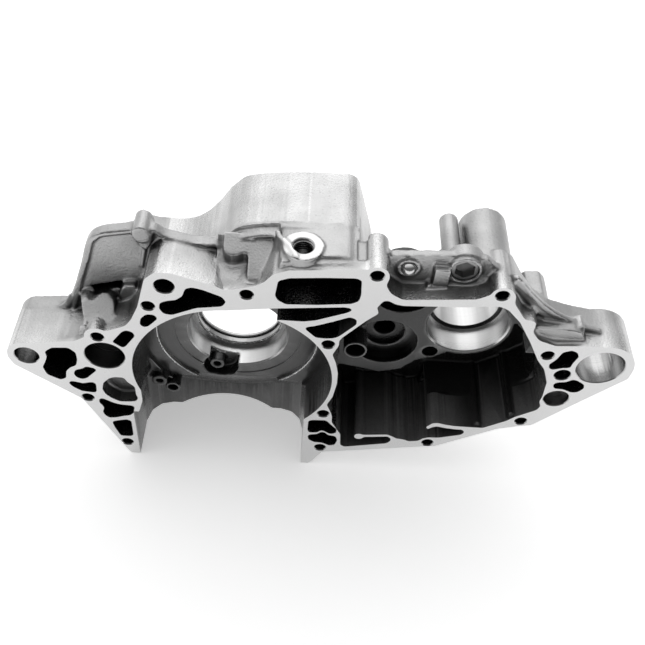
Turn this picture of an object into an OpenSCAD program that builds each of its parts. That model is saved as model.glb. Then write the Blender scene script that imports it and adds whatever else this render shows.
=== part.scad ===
// Left crankcase half of a single-cylinder engine, resting on its cylinder deck.
// X runs from the front mount to the swingarm pivot, Y from the joint face into the half, Z up.
// Outlines are read from the crank axis; place() moves them to the cylinder axis on the deck.

/* [Casting] */
// height of the crank axis over the cylinder deck
deck_height = 98; // [92:0.5:106]
// offset of the cylinder axis from the crank axis, towards the front mount
cylinder_offset = 10; // [8:0.5:13]
// depth of the joint wall and the front part of the half
front_depth = 31; // [29:0.5:34]
// depth of the gearbox to its outer wall
gearbox_depth = 62; // [60:0.5:68]
// depth of the sump block and the flywheel cover rim
rim_depth = 80; // [77:0.5:88]
// wall of the flywheel cover rim
rim_wall = 6; // [4:0.5:8]
// corner radius of the outer outlines
outer_round = 3; // [1:0.5:4]
// corner radius of the core pockets
pocket_round = 1.6; // [0.5:0.1:2]
// thickness of the raised lip around the front plate
lip = 2; // [1:0.5:3]

/* [Crank chamber] */
// radius of the machined crank chamber
crank_chamber_radius = 64; // [62:0.25:65]
// depth of the machined chamber wall
crank_chamber_depth = 33; // [30:0.5:34]
// radius of the machined ring step on the bearing web
crank_ring_radius = 53; // [48:0.5:58]
// depth of the bearing web face
crank_web_depth = 36; // [35:0.5:40]
// radius of the main bearing bore
main_bore_radius = 33; // [30:0.5:36]
// length of the main bearing bore
main_bore_length = 16; // [12:0.5:18]
// radius of the oil seal bore behind the main bearing
main_seal_radius = 27; // [24:0.5:28]
// depth of the outer crank boss
main_boss_depth = 60; // [58:0.5:66]
// radius of the outer crank boss
main_boss_radius = 41; // [39:0.5:44]
// depth of the floor of the flywheel cavity
flywheel_floor_depth = 48; // [46:0.5:50]

/* [Cylinder opening] */
// radius of the machined spigot bore
spigot_radius = 58; // [55:0.5:59]
// height of the machined spigot bore
spigot_height = 15; // [10:0.5:20]
// depth of the cast relief at both sides of the spigot bore
relief_depth = 47; // [44:0.5:50]
// height over the deck at which the bearing web begins
web_foot_height = 52.5; // [48:0.5:56]
// wall between the spigot bore and the feet of the joint face
deck_wall = 7; // [6:0.5:9]
// depth of the cylinder deck flange
deck_depth = 72; // [70:0.5:78]
// thickness of the cylinder deck flange
deck_thickness = 16; // [12:0.5:20]
// distance of the cylinder studs from the cylinder axis along the deck
stud_spread = 60; // [58:0.5:61]
// depth of the cylinder studs behind the joint face
stud_depth = 58; // [56:0.5:60]
// radius of the cylinder stud holes
stud_radius = 4.5; // [4:0.25:5]

/* [Gear chamber] */
// depth of the gear chamber to the bearing web
gear_web_depth = 27; // [25:0.5:28]
// depth of the gear chamber below the bearing web
gear_floor_depth = 57; // [54:0.5:58]
// radius of the output bearing bore
output_bore_radius = 26; // [23:0.5:27]
// length of the output bearing bore
output_bore_length = 18; // [15:0.5:20]
// radius of the output seal bore
output_seal_radius = 22; // [18:0.5:22.5]
// radius of the clutch shaft bearing bore
clutch_bore_radius = 20.5; // [18:0.25:21]
// radius of the clutch push rod hole
push_rod_radius = 4.2; // [3.5:0.1:5]
// radius of the shift drum counterbore
drum_bore_radius = 21; // [18:0.25:21.5]
// radius of the hole for the shift drum
drum_hole_radius = 6.7; // [5:0.1:8]

/* [Bores and bolts] */
// radius of the swingarm pivot bore
pivot_bore_radius = 14.8; // [13:0.1:15.5]
// wall around the swingarm pivot bore
pivot_wall = 5.7; // [5:0.1:7]
// radius of the front mounting hole
mount_hole_radius = 7.6; // [6:0.1:8]
// depth of the front mounting boss
mount_boss_depth = 40; // [36:0.5:46]
// radius of the balancer shaft bore
balancer_bore_radius = 12.5; // [10:0.1:13]
// depth of the balancer shaft bore
balancer_bore_depth = 24; // [18:0.5:28]
// radius of the case bolt holes
case_bolt_radius = 3.8; // [3.2:0.1:4.2]
// depth of the case bolt holes
case_bolt_depth = 26; // [20:0.5:28]
// width of the small chamfer at the mouths of the holes in the joint face
mouth_chamfer = 0.4; // [0.2:0.1:0.6]
// radius of the breather hole above the crank chamber
breather_radius = 5.8; // [5:0.1:6.2]
// radius of the dowel hole beside the swingarm pivot
dowel_radius = 5; // [4.5:0.1:5.2]
// radius of the tapped holes for the cover screws
cover_screw_radius = 2.6; // [2.1:0.1:3]

/* [Sump and drain] */
// depth of the sump chamber
sump_chamber_depth = 72; // [60:0.5:74]
// height of the drain face over the crank axis
drain_face_height = 108; // [107:0.25:109]
// radius of the machined drain face
drain_face_radius = 12; // [11:0.25:13]
// radius of the tapped drain hole
drain_radius = 6; // [5:0.1:7]

/* [Oil gallery] */
// depth of the wall behind the gallery recess
recess_depth = 14; // [13:0.25:15]
// thickness of the wall behind the gallery recess
recess_wall = 5; // [4:0.25:7]
// radius of the pressed steel ball
ball_radius = 4.5; // [3.5:0.1:5]
// radius of the gallery plug
plug_radius = 8; // [7.5:0.1:9]
// length of the gallery plug
plug_length = 6; // [5.5:0.1:8]
// width across the flats of the socket in the gallery plug
socket_flats = 12; // [10:0.1:12.5]

/* [Outer side] */
// radius of the large cover post
post_radius = 15; // [13:0.5:16]
// depth of the large cover post
post_depth = 70; // [67:0.5:76]
// height of the bosses and ribs on the outer gearbox wall
outer_rise = 6; // [4:0.5:8]
// width of the ribs on the outer gearbox wall
rib_width = 5; // [4:0.5:7]

/* [Hidden] */
over = 1;
fit_gap = 0.05;
smooth = 72;
small = 24;
coarse = 12;

case_grey = [0.67, 0.67, 0.66];
ball_grey = [0.8, 0.8, 0.8];
plug_grey = [0.6, 0.6, 0.6];

deck = -deck_height;
foot = spigot_radius + deck_wall;
flange_half = spigot_radius + 2 * deck_wall;
rim_bottom = -62;
rim_chamber_top = 58;

// places on the joint face: across and up from the crank axis
pivot = [229.2, 32.5];
front_mount = [-129.7, 8.9];
balancer = [-80.1, 13.6];
breather = [-38, 81.2];
dowel = [207.7, 23.3];
round_pocket = [210.3, -1.5];
output = [148, 34];
clutch = [103.5, 63];
drum = [97.3, 12];
case_bolts = [
    [-82.4, 31.8], [-96.8, -32.4], [-75.8, -83.8], [-48.7, 63.4], [9.2, 78.7], [82.3, 101.1],
    [154.7, 91.7], [193.7, 41.5], [193.7, -29.2], [135.5, -62], [61, -76.3], [60.6, -34.8], [59, 38.5]
];

// places behind the joint face
ball_at = [101, 96];
plug_at = [133, 98];
plug_boss_radius = 11.5;
plug_boss_front = recess_depth - 3;
large_post = [151, 81];
small_post = [128.6, 87.5];
drain_at = [40, 13.5];

// screw places on the flywheel cover rim, on the crank boss and on the cover posts
cover_screws = [
    [-90, 39], [-96, -4], [-80, -44], [-20, -54], [40, -54], [72, -30], [80, 18], [76, 52], [20, 62],
    [-38, 54]
];
stator_screw_circle = 35;
stator_screw_angles = [90, 210, 330];
screw_boss_radius = 6.5;
screw_depth = 18;

// joint face contour, clockwise from the front mount
face_contour = [
    [-141, 14], [-136, 20], [-118, 23], [-97, 26.5], [-90, 31], [-86, 37], [-75, 38.5], [-64, 44],
    [-60, 50], [-55, 62], [-49, 86], [-43, 92], [-34, 92.5], [-9, 84.5], [-3, 81], [3, 83], [14, 86.5],
    [19, 90], [24, 97], [33, 101], [78, 106], [86, 106.5], [89.5, 100.5], [88, 94], [91.5, 87.5],
    [99, 83], [141, 87.5], [148, 92], [151, 97], [159, 97.5], [162.5, 92], [163, 86], [172, 73],
    [179.5, 71.5], [179.5, 62], [185, 55], [196, 51], [214, 52.5], [229, 52.5], [240, 50], [246.5, 42],
    [250, 34], [249.5, 23.5], [228.5, -1], [202, -33], [190, -36.5], [180, -40], [165, -50],
    [141, -66], [134, -67], [78, -79], [63, -82], [56, -87], [foot - cylinder_offset, deck],
    [-foot - cylinder_offset, deck], [-84.5, -74], [-101, -34], [-139.5, -1], [-142, 7]
];

// core pockets in the joint face, each with its depth
core_pockets = [
    [34, [[-117.5, 14], [-112.5, 18.5], [-102, 19.5], [-98, 15], [-98, 8], [-99.5, 2], [-104, -1],
        [-107, -5], [-108, -12], [-112, -14.5], [-120, -9.5], [-121.5, -2], [-119, 3.5], [-117, 9]]],
    [30, [[-102.5, -7], [-101, -3], [-96, -1], [-93.5, 1.5], [-88, 0], [-87, -2], [-90, -5.5],
        [-94.5, -11], [-98, -12.5], [-101.5, -10.5]]],
    [20, [[-107.5, -17.5], [-105.5, -15], [-101, -16], [-98, -17], [-94, -15.5], [-90.5, -15],
        [-89.5, -17], [-90, -25.5], [-92, -26.5], [-100, -25.5], [-105, -21.5]]],
    [26, [[-90, -37.5], [-89.5, -33], [-87, -32.5], [-80, -37], [-76, -38.3], [-67, -39],
        [-66.7, -41.5], [-68.5, -48], [-70.5, -50.5], [-75, -51.8], [-80, -54], [-85.5, -55],
        [-88, -52], [-89, -48], [-87.5, -44], [-88, -41]]],
    [26, [[-84, -59.5], [-81, -58], [-74, -55.8], [-70.5, -57], [-70.8, -75], [-73, -76.5],
        [-80, -76.5], [-83, -66]]],
    [26, [[-73.7, 28], [-67, 38], [-64, 40], [-60, 38.5], [-59, 35], [-66, 24], [-68, 23]]],
    [26, [[-55, 47], [-54, 52], [-50.5, 56], [-45.5, 56], [-43.8, 52.5], [-50, 45], [-53.5, 43.8]]],
    [front_depth - 1, [[-42.3, 62], [-41.5, 67], [-37, 69.2], [-32, 70.3], [-28, 74], [-26, 80.5],
        [-22, 82], [-16, 80.5], [-5, 75.5], [-2.7, 71.5], [-5, 67.3], [-20, 64.5], [-26, 61.5],
        [-35, 56.8], [-40, 57.5]]],
    [front_depth, [[25.5, 80], [27, 76], [32, 72.8], [50, 74], [70, 76.8], [74, 79.5], [74.8, 85],
        [74, 97], [70.5, 98.2], [53, 97], [33, 94.8], [27, 92]]],
    [44, [[43, 53.2], [50, 55.3], [60, 60], [70, 65.2], [74.3, 63.5], [74.5, 59], [65, 47], [62, 45],
        [57, 44.2], [51, 44.5]]],
    [28, [[196.7, 33], [197.5, 29.5], [200, 28], [206, 30.3], [210.5, 31], [211, 36], [212.8, 42],
        [211, 46], [207, 47.8], [202, 45.5], [200, 38.5]]],
    [28, [[204.5, 13], [206, 15.5], [212, 16.5], [215.5, 19.5], [219, 18.5], [224, 15], [225, 11],
        [222, 6.5], [218, 6], [212, 8.8], [206, 9]]],
    [30, [[51, -44], [54, -42.8], [63, -42.2], [71, -52.5], [71, -57], [67, -58.5], [65, -57.5],
        [63, -55.5], [60.5, -54.5], [58, -57.5], [52, -58.3], [51, -55]]],
    [30, [[51.5, -61], [58, -59.5], [60.5, -56.5], [63.5, -57], [65.5, -60], [71, -60.8], [72.5, -66],
        [71, -72], [67, -73], [62, -70], [56, -69.8], [52, -66.5]]]
];

// sump chamber behind its window
sump_chamber = [
    [29, 79], [31, 76], [50, 76], [67, 78.5], [71, 83], [70, 91], [66, 95], [40, 93.5], [30, 90]
];

// shallow pocket with a cast floor, beside the crank chamber
shallow_pocket = [
    [-86, -22], [-84.5, -15], [-80, -9.5], [-76, -8], [-70.5, -8], [-68.5, -12.5], [-64.2, -17.5],
    [-64.2, -26], [-63.2, -30], [-65, -33.5], [-70, -34.5], [-76, -34.8], [-81, -31.5], [-84.5, -27.5]
];

// passage from the crank chamber into the sump
sump_passage = [
    [-17, 60], [-17, 61.7], [25, 68.5], [66, 73.5], [70, 73], [70.8, 71], [68, 68.8], [50, 60.3],
    [43, 58.6], [27.5, 58.6], [20, 50], [-10, 50]
];

// wall of the chamber between the crank chamber and the deck
lower_chamber = [
    [-62, -10], [-60.5, -20], [-60.7, -33], [-64.5, -47], [-67.3, -60],
    [-spigot_radius - cylinder_offset, deck - 2 * over],
    [spigot_radius - cylinder_offset, deck - 2 * over], [47.8, -30], [0, 0]
];

// mouth of the gear chamber
gear_mouth = [
    [64, 34], [65.5, 38], [65.5, 43], [67, 46], [80, 63], [86.5, 70], [85, 75], [88, 81], [91, 81.5],
    [95, 79], [100, 78], [138, 80.5], [150, 82.5], [156, 82.5], [161, 80], [170, 70], [180, 53],
    [189, 36], [195, 28], [200, 15], [201, 0], [200.5, -6], [202.5, -11], [201, -15.5], [189, -24.5],
    [184, -30], [170, -40], [156, -40.3], [133, -40.3], [131, -58], [128.5, -60.5], [122, -61.7],
    [119, -60], [113, -59], [110, -64], [107, -66], [78, -73.5], [75, -71.5], [74, -58], [67, -44],
    [66.7, -37], [65.3, -32], [62.3, -24], [65.5, -15], [67.3, 0], [67, 11], [65, 21], [62.3, 29]
];

// part of the gear chamber that is deeper than the bearing web
gear_floor = [
    [68, -14], [62.3, -24], [65.3, -32], [66.7, -37], [67, -44], [74, -58], [75, -71.5], [78, -73.5],
    [107, -66], [110, -64], [113, -59], [119, -60], [122, -61.7], [128.5, -60.5], [131, -58],
    [133, -40.3], [170, -40], [184, -30], [189, -24.5], [199, -15.5], [200, -6], [198, 10], [190, 20],
    [180, 26], [172, 8], [160, -3], [126, -3], [122, 12], [114, -14], [97, -20], [80, -16]
];

// slots in the joint wall below the two fins of the gear chamber
slot_upper = [
    [128, -44.5], [133.5, -45], [136, -42.6], [139, -41.3], [144, -42.6], [151, -43.5], [157, -43.5],
    [158.8, -46.5], [157, -49.7], [142, -55], [135, -55.4], [130, -58]
];

// fins that stand in the gear chamber
fin_upper = [
    [175, -40], [151, -39.8], [144, -38.8], [139, -37.3], [135.5, -38], [131.6, -43], [133, -45.3],
    [136, -42.6], [139, -41.3], [144, -42.6], [175, -46]
];
fin_lower = [
    [86, -57.5], [91, -57], [106.5, -55], [109.5, -56.5], [113, -59], [113, -68], [107, -66],
    [109.5, -63], [109.5, -59.5], [107, -57.3], [91, -59.6], [86, -61]
];

// outline of the plate behind the joint wall at the front, up to the parting line
front_plate = [
    [-107, 18], [-102, 32], [-96, 53], [-89, 73], [-85, 87], [-79, 93], [-58, 98], [-47, 100.5],
    [-41, 95], [-24, 91], [-18, 91], [-8, 97.5], [11, 101], [26, 102], [26, 80], [-40, 60], [-60, 20],
    [-92, 12]
];

// back of the front mounting arm, a little proud of its front at the parting line
mount_arm = [[-140, 2], [-136, 20.5], [-100, 25], [-80, 20], [-84, -30], [-104, -28]];

// angular side of the first bolt boss, and the hollow in the plate above it
bolt_boss_side = [[-96, 26], [-93, 37], [-89, 39.5], [-85.5, 33], [-85, 24]];
plate_hollow = [[-91, 42.5], [-70, 49], [-67, 45], [-74, 39], [-88, 38]];

// outline of the flywheel cover rim and the sump block
rim_contour = [
    [-98, 46], [-60, 60], [-44, 61], [-34, 65], [-24, 69], [-15, 77], [-7, 90], [3, 101], [14, 105],
    [66, 107], [71.5, 103.5], [76, 88], [84, 60], [88, 30], [87, 0], [79, -34], [62, rim_bottom],
    [-78, rim_bottom], [-88, -48], [-100, -22], [-104, 14]
];

// pad of the sump block that reaches the joint wall, and the small column at its end
sump_pad = [[27, 92], [27, 102], [66, 105.5], [72, 105], [72, 92]];
sump_column = [[68, 90], [68, 101], [80, 101], [80, 90]];

// curved rib beside the drain, seen from above
sump_rib = [
    [20.5, 42], [22.5, 27], [25, 19], [32.5, 10], [35.5, 3], [38, 3], [35, 12], [27.5, 20.5],
    [24.8, 28], [23, 42]
];

// recess beside the sump block: side profile of its floor, and the raised wing around its hooked trough
recess_floor_profile = [
    [2, 76], [2, 81], [8, 83], [18, 84.5], [25, 89], [front_depth, 98], [front_depth, 76]
];
wing_profile = [[6, 76], [6, 85.5], [12, 89], [front_depth + over, 99], [front_depth + over, 76]];
wing_outline = [
    [-9, 34], [-8, 27], [-3, 29], [2, 28], [6.5, 24], [8.5, 18], [9, 10], [13, 9], [14.5, 13],
    [19, 14], [22, 12], [25, 16], [25, 34]
];

// hooked trough around the wing, seen from above
trough_outline = [
    [-5, 21.5], [-2, 18.5], [3, 17.5], [6.5, 12], [8, 4.5], [11, 2.5], [16, 3], [18, 7], [16, 13],
    [12, 9.5], [9.5, 11], [9, 18.5], [6.5, 24.5], [0, 28.5], [-4, 27]
];

// outline of the gearbox behind the joint wall
gearbox_contour = [
    [60, 62], [73, 88], [92, 85.5], [141, 87], [160, 88], [172, 73], [184, 56], [197, 40], [206, 18],
    [207, -12], [190, -32], [165, -46], [141, -62], [78, -78], [60, -78]
];

// outline of the outer gearbox wall, lower than the front part of the gearbox
gearbox_back = [
    [60, 50], [80, 62], [125, 63], [134, 78], [166, 78], [170, 54], [182, 40], [196, 22], [205, 12],
    [205, -14], [189, -30], [165, -45], [141, -60], [78, -77], [60, -77]
];

// wall behind the gallery recess, with the square lug beside the plug
recess_rail = [[84, 80], [84, 106], [124, 107.5], [145, 106], [156, 96], [156, 80]];
gallery_lug = [[113, 84], [113, 100.5], [124.5, 100.5], [124.5, 84]];

// ribbed flange that sweeps down to the swingarm pivot, its raised ridge and the step in front of it
pivot_flange = [
    [152, 97], [160, 97.5], [163.5, 94], [171, 82], [180, 70], [193, 60], [208, 55.5], [222, 53],
    [229, 52.5], [229, 40], [190, 40], [165, 70]
];
flange_ridge = [
    [160, 92], [162.5, 96], [164.5, 91.5], [173, 82.4], [183.3, 74], [196, 65.6], [208.4, 59.4],
    [222, 55.5], [222, 52], [208, 54], [193, 59], [180, 69], [171, 80]
];
pivot_step = [[178, 60], [183.5, 62], [206, 61.5], [210, 59.5], [214, 54], [214, 40], [190, 40]];
flange_post = [177, 68];
rear_lug = [[176, 46], [177, 58], [181, 62], [190, 62.5], [194, 58], [199, 46]];

// moves crank-centred shapes to the cylinder axis on the deck
module place() {
    translate([cylinder_offset, 0, deck_height]) children();
}

// extrudes an outline of the joint face from one depth to another
module slab(from, to) {
    translate([0, to, 0]) rotate([90, 0, 0]) linear_extrude(to - from) children();
}

// extrudes a side profile, given as depth and height, from one place across to another
module across(from, to) {
    translate([from, 0, 0]) rotate([90, 0, 90]) linear_extrude(to - from) children();
}

// extrudes a plan outline, given as across and depth, between two heights
module upright(from, to) {
    translate([0, 0, from]) linear_extrude(to - from) children();
}

// round bar or bore along the depth
module bar(at, from, to, r, fn = small) {
    translate([at[0], to, at[1]]) rotate([90, 0, 0]) cylinder(r = r, h = to - from, $fn = fn);
}

// bore from the joint face with a small chamfer at its mouth
module mouth_bore(at, depth, r, fn = small) {
    bar(at, -over, depth, r, fn);
    translate([at[0], mouth_chamfer, at[1]]) rotate([90, 0, 0])
        cylinder(r1 = r, r2 = r + 2 * mouth_chamfer, h = 2 * mouth_chamfer, $fn = fn);
}

// rounds the outer and inner corners of an outline
module rounded(r) {
    offset(r = r, $fn = coarse) offset(r = -2 * r, $fn = coarse) offset(r = r, $fn = coarse) children();
}

// wall of the casting with rounded corners
module wall(points, from, to, r = 1) {
    slab(from, to) rounded(r) polygon(points);
}

// boss with a blind hole, as it stands inside a chamber
module boss(at, from, to, r, hole) {
    difference() {
        bar(at, from, to, r);
        bar(at, from - over, to - 4, hole);
    }
}

// joint wall, front arm and swingarm pivot
module front_body() {
    wall(face_contour, 0, front_depth, outer_round);
    bar(front_mount, 0, mount_boss_depth, mount_hole_radius + 4.4);
    wall(mount_arm, front_depth - over, mount_boss_depth, 4);
    bar(case_bolts[0], 0, front_depth + 3, case_bolt_radius + 4.2);
    wall(bolt_boss_side, 3, front_depth);
    bar(pivot, 0, front_depth + 1, pivot_bore_radius + pivot_wall, smooth);
}

// plate behind the joint wall, with its raised lip and the round lug on it
module plate() {
    wall(front_plate, front_depth - 3, front_depth + 3, 4);
    slab(front_depth - 4.5, front_depth) difference() {
        rounded(4) polygon(front_plate);
        offset(delta = -lip) rounded(4) polygon(front_plate);
    }
    bar([-54, 98], 14, mount_boss_depth, 5);
}

// flange that sweeps from the upper bolt boss down to the swingarm pivot
module flange() {
    wall(pivot_flange, 12, front_depth, 2);
    wall(flange_ridge, 11, 14);
    wall(pivot_step, 4, 14, 2);
    bar(flange_post, 2, 16, 3);
    wall(rear_lug, 30, 52, 2);
}

// recess with its sloped cast floor, between the joint wall and the sump block
module gallery_floor() {
    across(-10, 26) polygon(recess_floor_profile);
    intersection() {
        across(-10, 26) polygon(wing_profile);
        upright(76, 100) rounded(1.2) polygon(wing_outline);
    }
}

// recess between the two upper bolt bosses, which holds the ball and the plug
module gallery_wall() {
    wall(recess_rail, recess_depth, recess_depth + recess_wall);
    bar(ball_at, recess_depth - 1.5, recess_depth + recess_wall, ball_radius + 2.5);
    wall(gallery_lug, recess_depth - 5, recess_depth + over, 0.5);
    bar(plug_at, plug_boss_front, plug_boss_front + plug_length + 6, plug_boss_radius, smooth);
    wall([[118, 84], [118, 92], [156, 92], [156, 84]], recess_depth - 2, recess_depth + over, 0.5);
}

// gearbox walls and the posts behind them
module gearbox_body() {
    wall(gearbox_contour, 14, front_depth + 7, 5);
    wall(gearbox_back, front_depth + 5, gearbox_depth, 5);
    bar(clutch, front_depth - over, gear_web_depth + 21, 16.5, smooth);
    difference() {
        bar(large_post, 20, post_depth, post_radius, smooth);
        bar(large_post, post_depth - screw_depth, post_depth + over, cover_screw_radius + 1.6);
    }
    bar(small_post, 20, post_depth - 4, post_radius - 9.2);
}

// bosses and ribs on the outer gearbox wall
module outer_gearbox() {
    outer_face = gearbox_depth + outer_rise;
    bar(output, gearbox_depth - over, outer_face, output_seal_radius + 7, smooth);
    bar(drum, gearbox_depth - over, outer_face - 2, drum_hole_radius + 6, smooth);
    slab(gearbox_depth - over, gearbox_depth + outer_rise / 2) intersection() {
        rounded(5) polygon(gearbox_back);
        translate(output)
            for (angle = [-30, -75, -120, -165])
                rotate(angle) translate([0, -rib_width / 2]) square([120, rib_width]);
    }
}

// sump block and the rim for the flywheel cover
module rim_body() {
    wall(rim_contour, front_depth - over, rim_depth, 6);
    slab(4, front_depth + 4) polygon(sump_pad);
    wall(sump_column, 6, front_depth, 1);
    translate([drain_at[0] - drain_face_radius, 3, 92])
        cube([2 * drain_face_radius, drain_at[1], drain_face_height - 93]);
    upright(92, drain_face_height + 1) rounded(0.8) polygon(sump_rib);
    translate([drain_at[0], drain_at[1], 92])
        cylinder(r = drain_face_radius, h = drain_face_height - 92, $fn = smooth);
}

// cylinder deck with its flange, feet and stud bosses
module deck_body() {
    translate([-cylinder_offset, 0, 0])
        upright(deck, deck + deck_thickness)
            rounded(5) polygon([
                [-foot, 0], [-flange_half, 30], [-flange_half, deck_depth], [flange_half, deck_depth],
                [flange_half, 30], [foot, 0], [foot, 20], [-foot, 20]
            ]);
    wall([
        [-foot - cylinder_offset, deck + over], [-84, -74], [-90, -56], [62, -56], [64, -80],
        [foot - cylinder_offset, deck + over]
    ], 0, 66, 2);
    for (side = [-1, 1])
        translate([side * stud_spread - cylinder_offset, stud_depth, deck])
            cylinder(r = stud_radius + 4.5, h = rim_bottom - deck + over, $fn = small);
}

module stud_holes() {
    for (side = [-1, 1])
        translate([side * stud_spread - cylinder_offset, stud_depth, deck - over])
            cylinder(r = stud_radius, h = 32, $fn = small);
}

// crank chamber, bearing bores, lower chamber and spigot bore
module crank_cavity() {
    bar([0, 0], -over, crank_chamber_depth, crank_chamber_radius, smooth);
    bar([0, 0], 0, crank_web_depth, crank_ring_radius, smooth);
    bar([0, 0], 0, crank_web_depth + main_bore_length, main_bore_radius, smooth);
    bar([0, 0], 0, main_boss_depth - 3, main_seal_radius + 1.5, smooth);
    bar([0, 0], 0, rim_depth, main_seal_radius, smooth);
    slab(-over, 30) polygon(lower_chamber);
    wall(sump_passage, -over, 24);
    bar([-12, -36], 30, crank_web_depth + 10, 12);
    cylinder_opening();
}

// spigot bore and its cast relief, ended by the sloping foot of the bearing web
module cylinder_opening() {
    spigot_top = deck + spigot_height;
    web_foot = deck + web_foot_height;
    intersection() {
        translate([-cylinder_offset, 0, 0])
            upright(deck - over, -20) {
                circle(r = spigot_radius, $fn = smooth);
                rounded(17)
                    translate([-spigot_radius + 0.5, -60]) square([2 * spigot_radius - 0.8, 60 + relief_depth]);
            }
        across(-90, 90) polygon([
            [-over, deck - 2 * over], [70, deck - 2 * over], [70, spigot_top], [spigot_radius, spigot_top],
            [crank_web_depth, web_foot], [0, web_foot], [-over, -30]
        ]);
    }
}

// gear chamber with its fins and bearing bores
module gear_cavity() {
    fin_end = [87, -59.3];
    difference() {
        union() {
            wall(gear_mouth, -over, gear_web_depth, 1.5);
            wall(gear_floor, -over, gear_floor_depth, 1.5);
        }
        wall(fin_upper, -2 * over, rim_depth, 0.8);
        wall(fin_lower, -2 * over, rim_depth, 0.8);
        bar(fin_end, -2 * over, rim_depth, 3.2);
    }
    wall(slot_upper, -over, gear_floor_depth - 6);
    bar(output, 0, gear_web_depth + output_bore_length, output_bore_radius, smooth);
    bar(output, 0, rim_depth, output_seal_radius, smooth);
    bar(clutch, gear_web_depth - over, gear_web_depth + 6, clutch_bore_radius, smooth);
    bar(clutch, 0, gear_web_depth + 17, 13, smooth);
    bar(clutch, 0, gear_web_depth + 30, push_rod_radius);
    bar(drum, gear_web_depth - over, gear_web_depth + 9, drum_bore_radius, smooth);
    bar(drum, 0, gear_web_depth + 13, 13, smooth);
    bar(drum, 0, gearbox_depth - 3, drum_hole_radius);
}

// small bosses that stand inside the two chambers
module chamber_bosses() {
    boss([-15, -36.5], crank_web_depth + 2, crank_web_depth + 12, 5.2, 2.6);
    boss([-54, -43], 25, 50, 5.4, 2.3);
    boss([-45.5, -52.5], 27, 50, 5.2, 3.4);
    boss([77.3, 19.3], 12, 30, 7.6, 6);
    boss([128, 10], gear_web_depth + 1, gear_floor_depth + 3, 5.2, 2.7);
}

// holes and core pockets in the joint face
module joint_face_holes() {
    for (pocket = core_pockets)
        wall(pocket[1], -over, pocket[0], pocket_round);
    wall(sump_chamber, 0, sump_chamber_depth, pocket_round);
    wall(shallow_pocket, -over, 9, pocket_round);
    for (at = case_bolts)
        mouth_bore(at, case_bolt_depth, case_bolt_radius);
    mouth_bore(round_pocket, 8, 8);
    mouth_bore(dowel, 16, dowel_radius);
    mouth_bore(breather, 30, breather_radius);
    mouth_bore(balancer, balancer_bore_depth, balancer_bore_radius, smooth);
    mouth_bore(front_mount, mount_boss_depth + over, mount_hole_radius);
    mouth_bore(pivot, mount_boss_depth, pivot_bore_radius, smooth);
}

// holes and hollows that are cut from above
module upper_holes() {
    translate([drain_at[0], drain_at[1], 80]) cylinder(r = drain_radius, h = 40, $fn = small);
    slab(24, 44) polygon(plate_hollow);
    upright(84, 89) rounded(1) polygon(trough_outline);
    bar([-100.5, 34], 4, 23, 9.5);
    bar(ball_at, 0, recess_depth + 4, ball_radius + fit_gap);
    bar(plug_at, 0, plug_boss_front + 1.5 + plug_length, plug_radius + fit_gap, smooth);
}

// outer side: flywheel cavity, with the crank boss and the screw bosses standing in it
module flywheel_cavity() {
    difference() {
        slab(flywheel_floor_depth, rim_depth + over) rounded(6) difference() {
            offset(r = -rim_wall, $fn = coarse) polygon(rim_contour);
            translate([-120, rim_chamber_top]) square([240, 60]);
        }
        slab(40, gearbox_depth) offset(r = rim_wall, $fn = coarse) polygon(gear_floor);
        bar([0, 0], 40, main_boss_depth, main_boss_radius, smooth);
        for (at = cover_screws)
            bar(at, 40, rim_depth + 2 * over, screw_boss_radius);
    }
    for (at = cover_screws)
        bar(at, rim_depth - screw_depth, rim_depth + over, cover_screw_radius);
    for (angle = stator_screw_angles)
        bar(stator_screw_circle * [cos(angle), sin(angle)], crank_web_depth + main_bore_length + 1,
            main_boss_depth + over, cover_screw_radius);
}

module crankcase() {
    color(case_grey) place() {
        difference() {
            union() {
                front_body();
                plate();
                flange();
                gallery_floor();
                gallery_wall();
                gearbox_body();
                outer_gearbox();
                rim_body();
                deck_body();
            }
            crank_cavity();
            gear_cavity();
            joint_face_holes();
            upper_holes();
            stud_holes();
            flywheel_cavity();
        }
        chamber_bosses();
    }
}

// steel ball pressed into the mouth of the oil gallery
module gallery_ball() {
    color(ball_grey) place()
        translate([ball_at[0], recess_depth - 1, ball_at[1]]) sphere(r = ball_radius, $fn = small);
}

// gallery plug with a hexagon socket, a point of it down
module gallery_plug() {
    plug_front = plug_boss_front + 1.5;
    color(plug_grey) place() difference() {
        bar(plug_at, plug_front, plug_front + plug_length, plug_radius, smooth);
        translate([plug_at[0], plug_front + plug_length - 1.2, plug_at[1]]) rotate([90, 30, 0])
            cylinder(r = socket_flats / 2 / cos(30), h = plug_length, $fn = 6);
    }
}

crankcase();
gallery_ball();
gallery_plug();
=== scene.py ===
# %% [markdown]
# # A crankcase half, cast first and machined after
#
# The real part is one aluminium casting. It comes out of its mould with rounded edges, soft
# inner corners and a grainy skin. A milling machine then planes the joint face and bores the
# bearing seats, which leaves bright surfaces with crisp edges. The picture is made in the same
# order: a soft casting first, then the cuts, so each edge looks as it does on the real part.

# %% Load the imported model
import math
import time

import bmesh
import bpy
import numpy as np
from mathutils import Matrix, Vector
from mathutils.bvhtree import BVHTree


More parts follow.
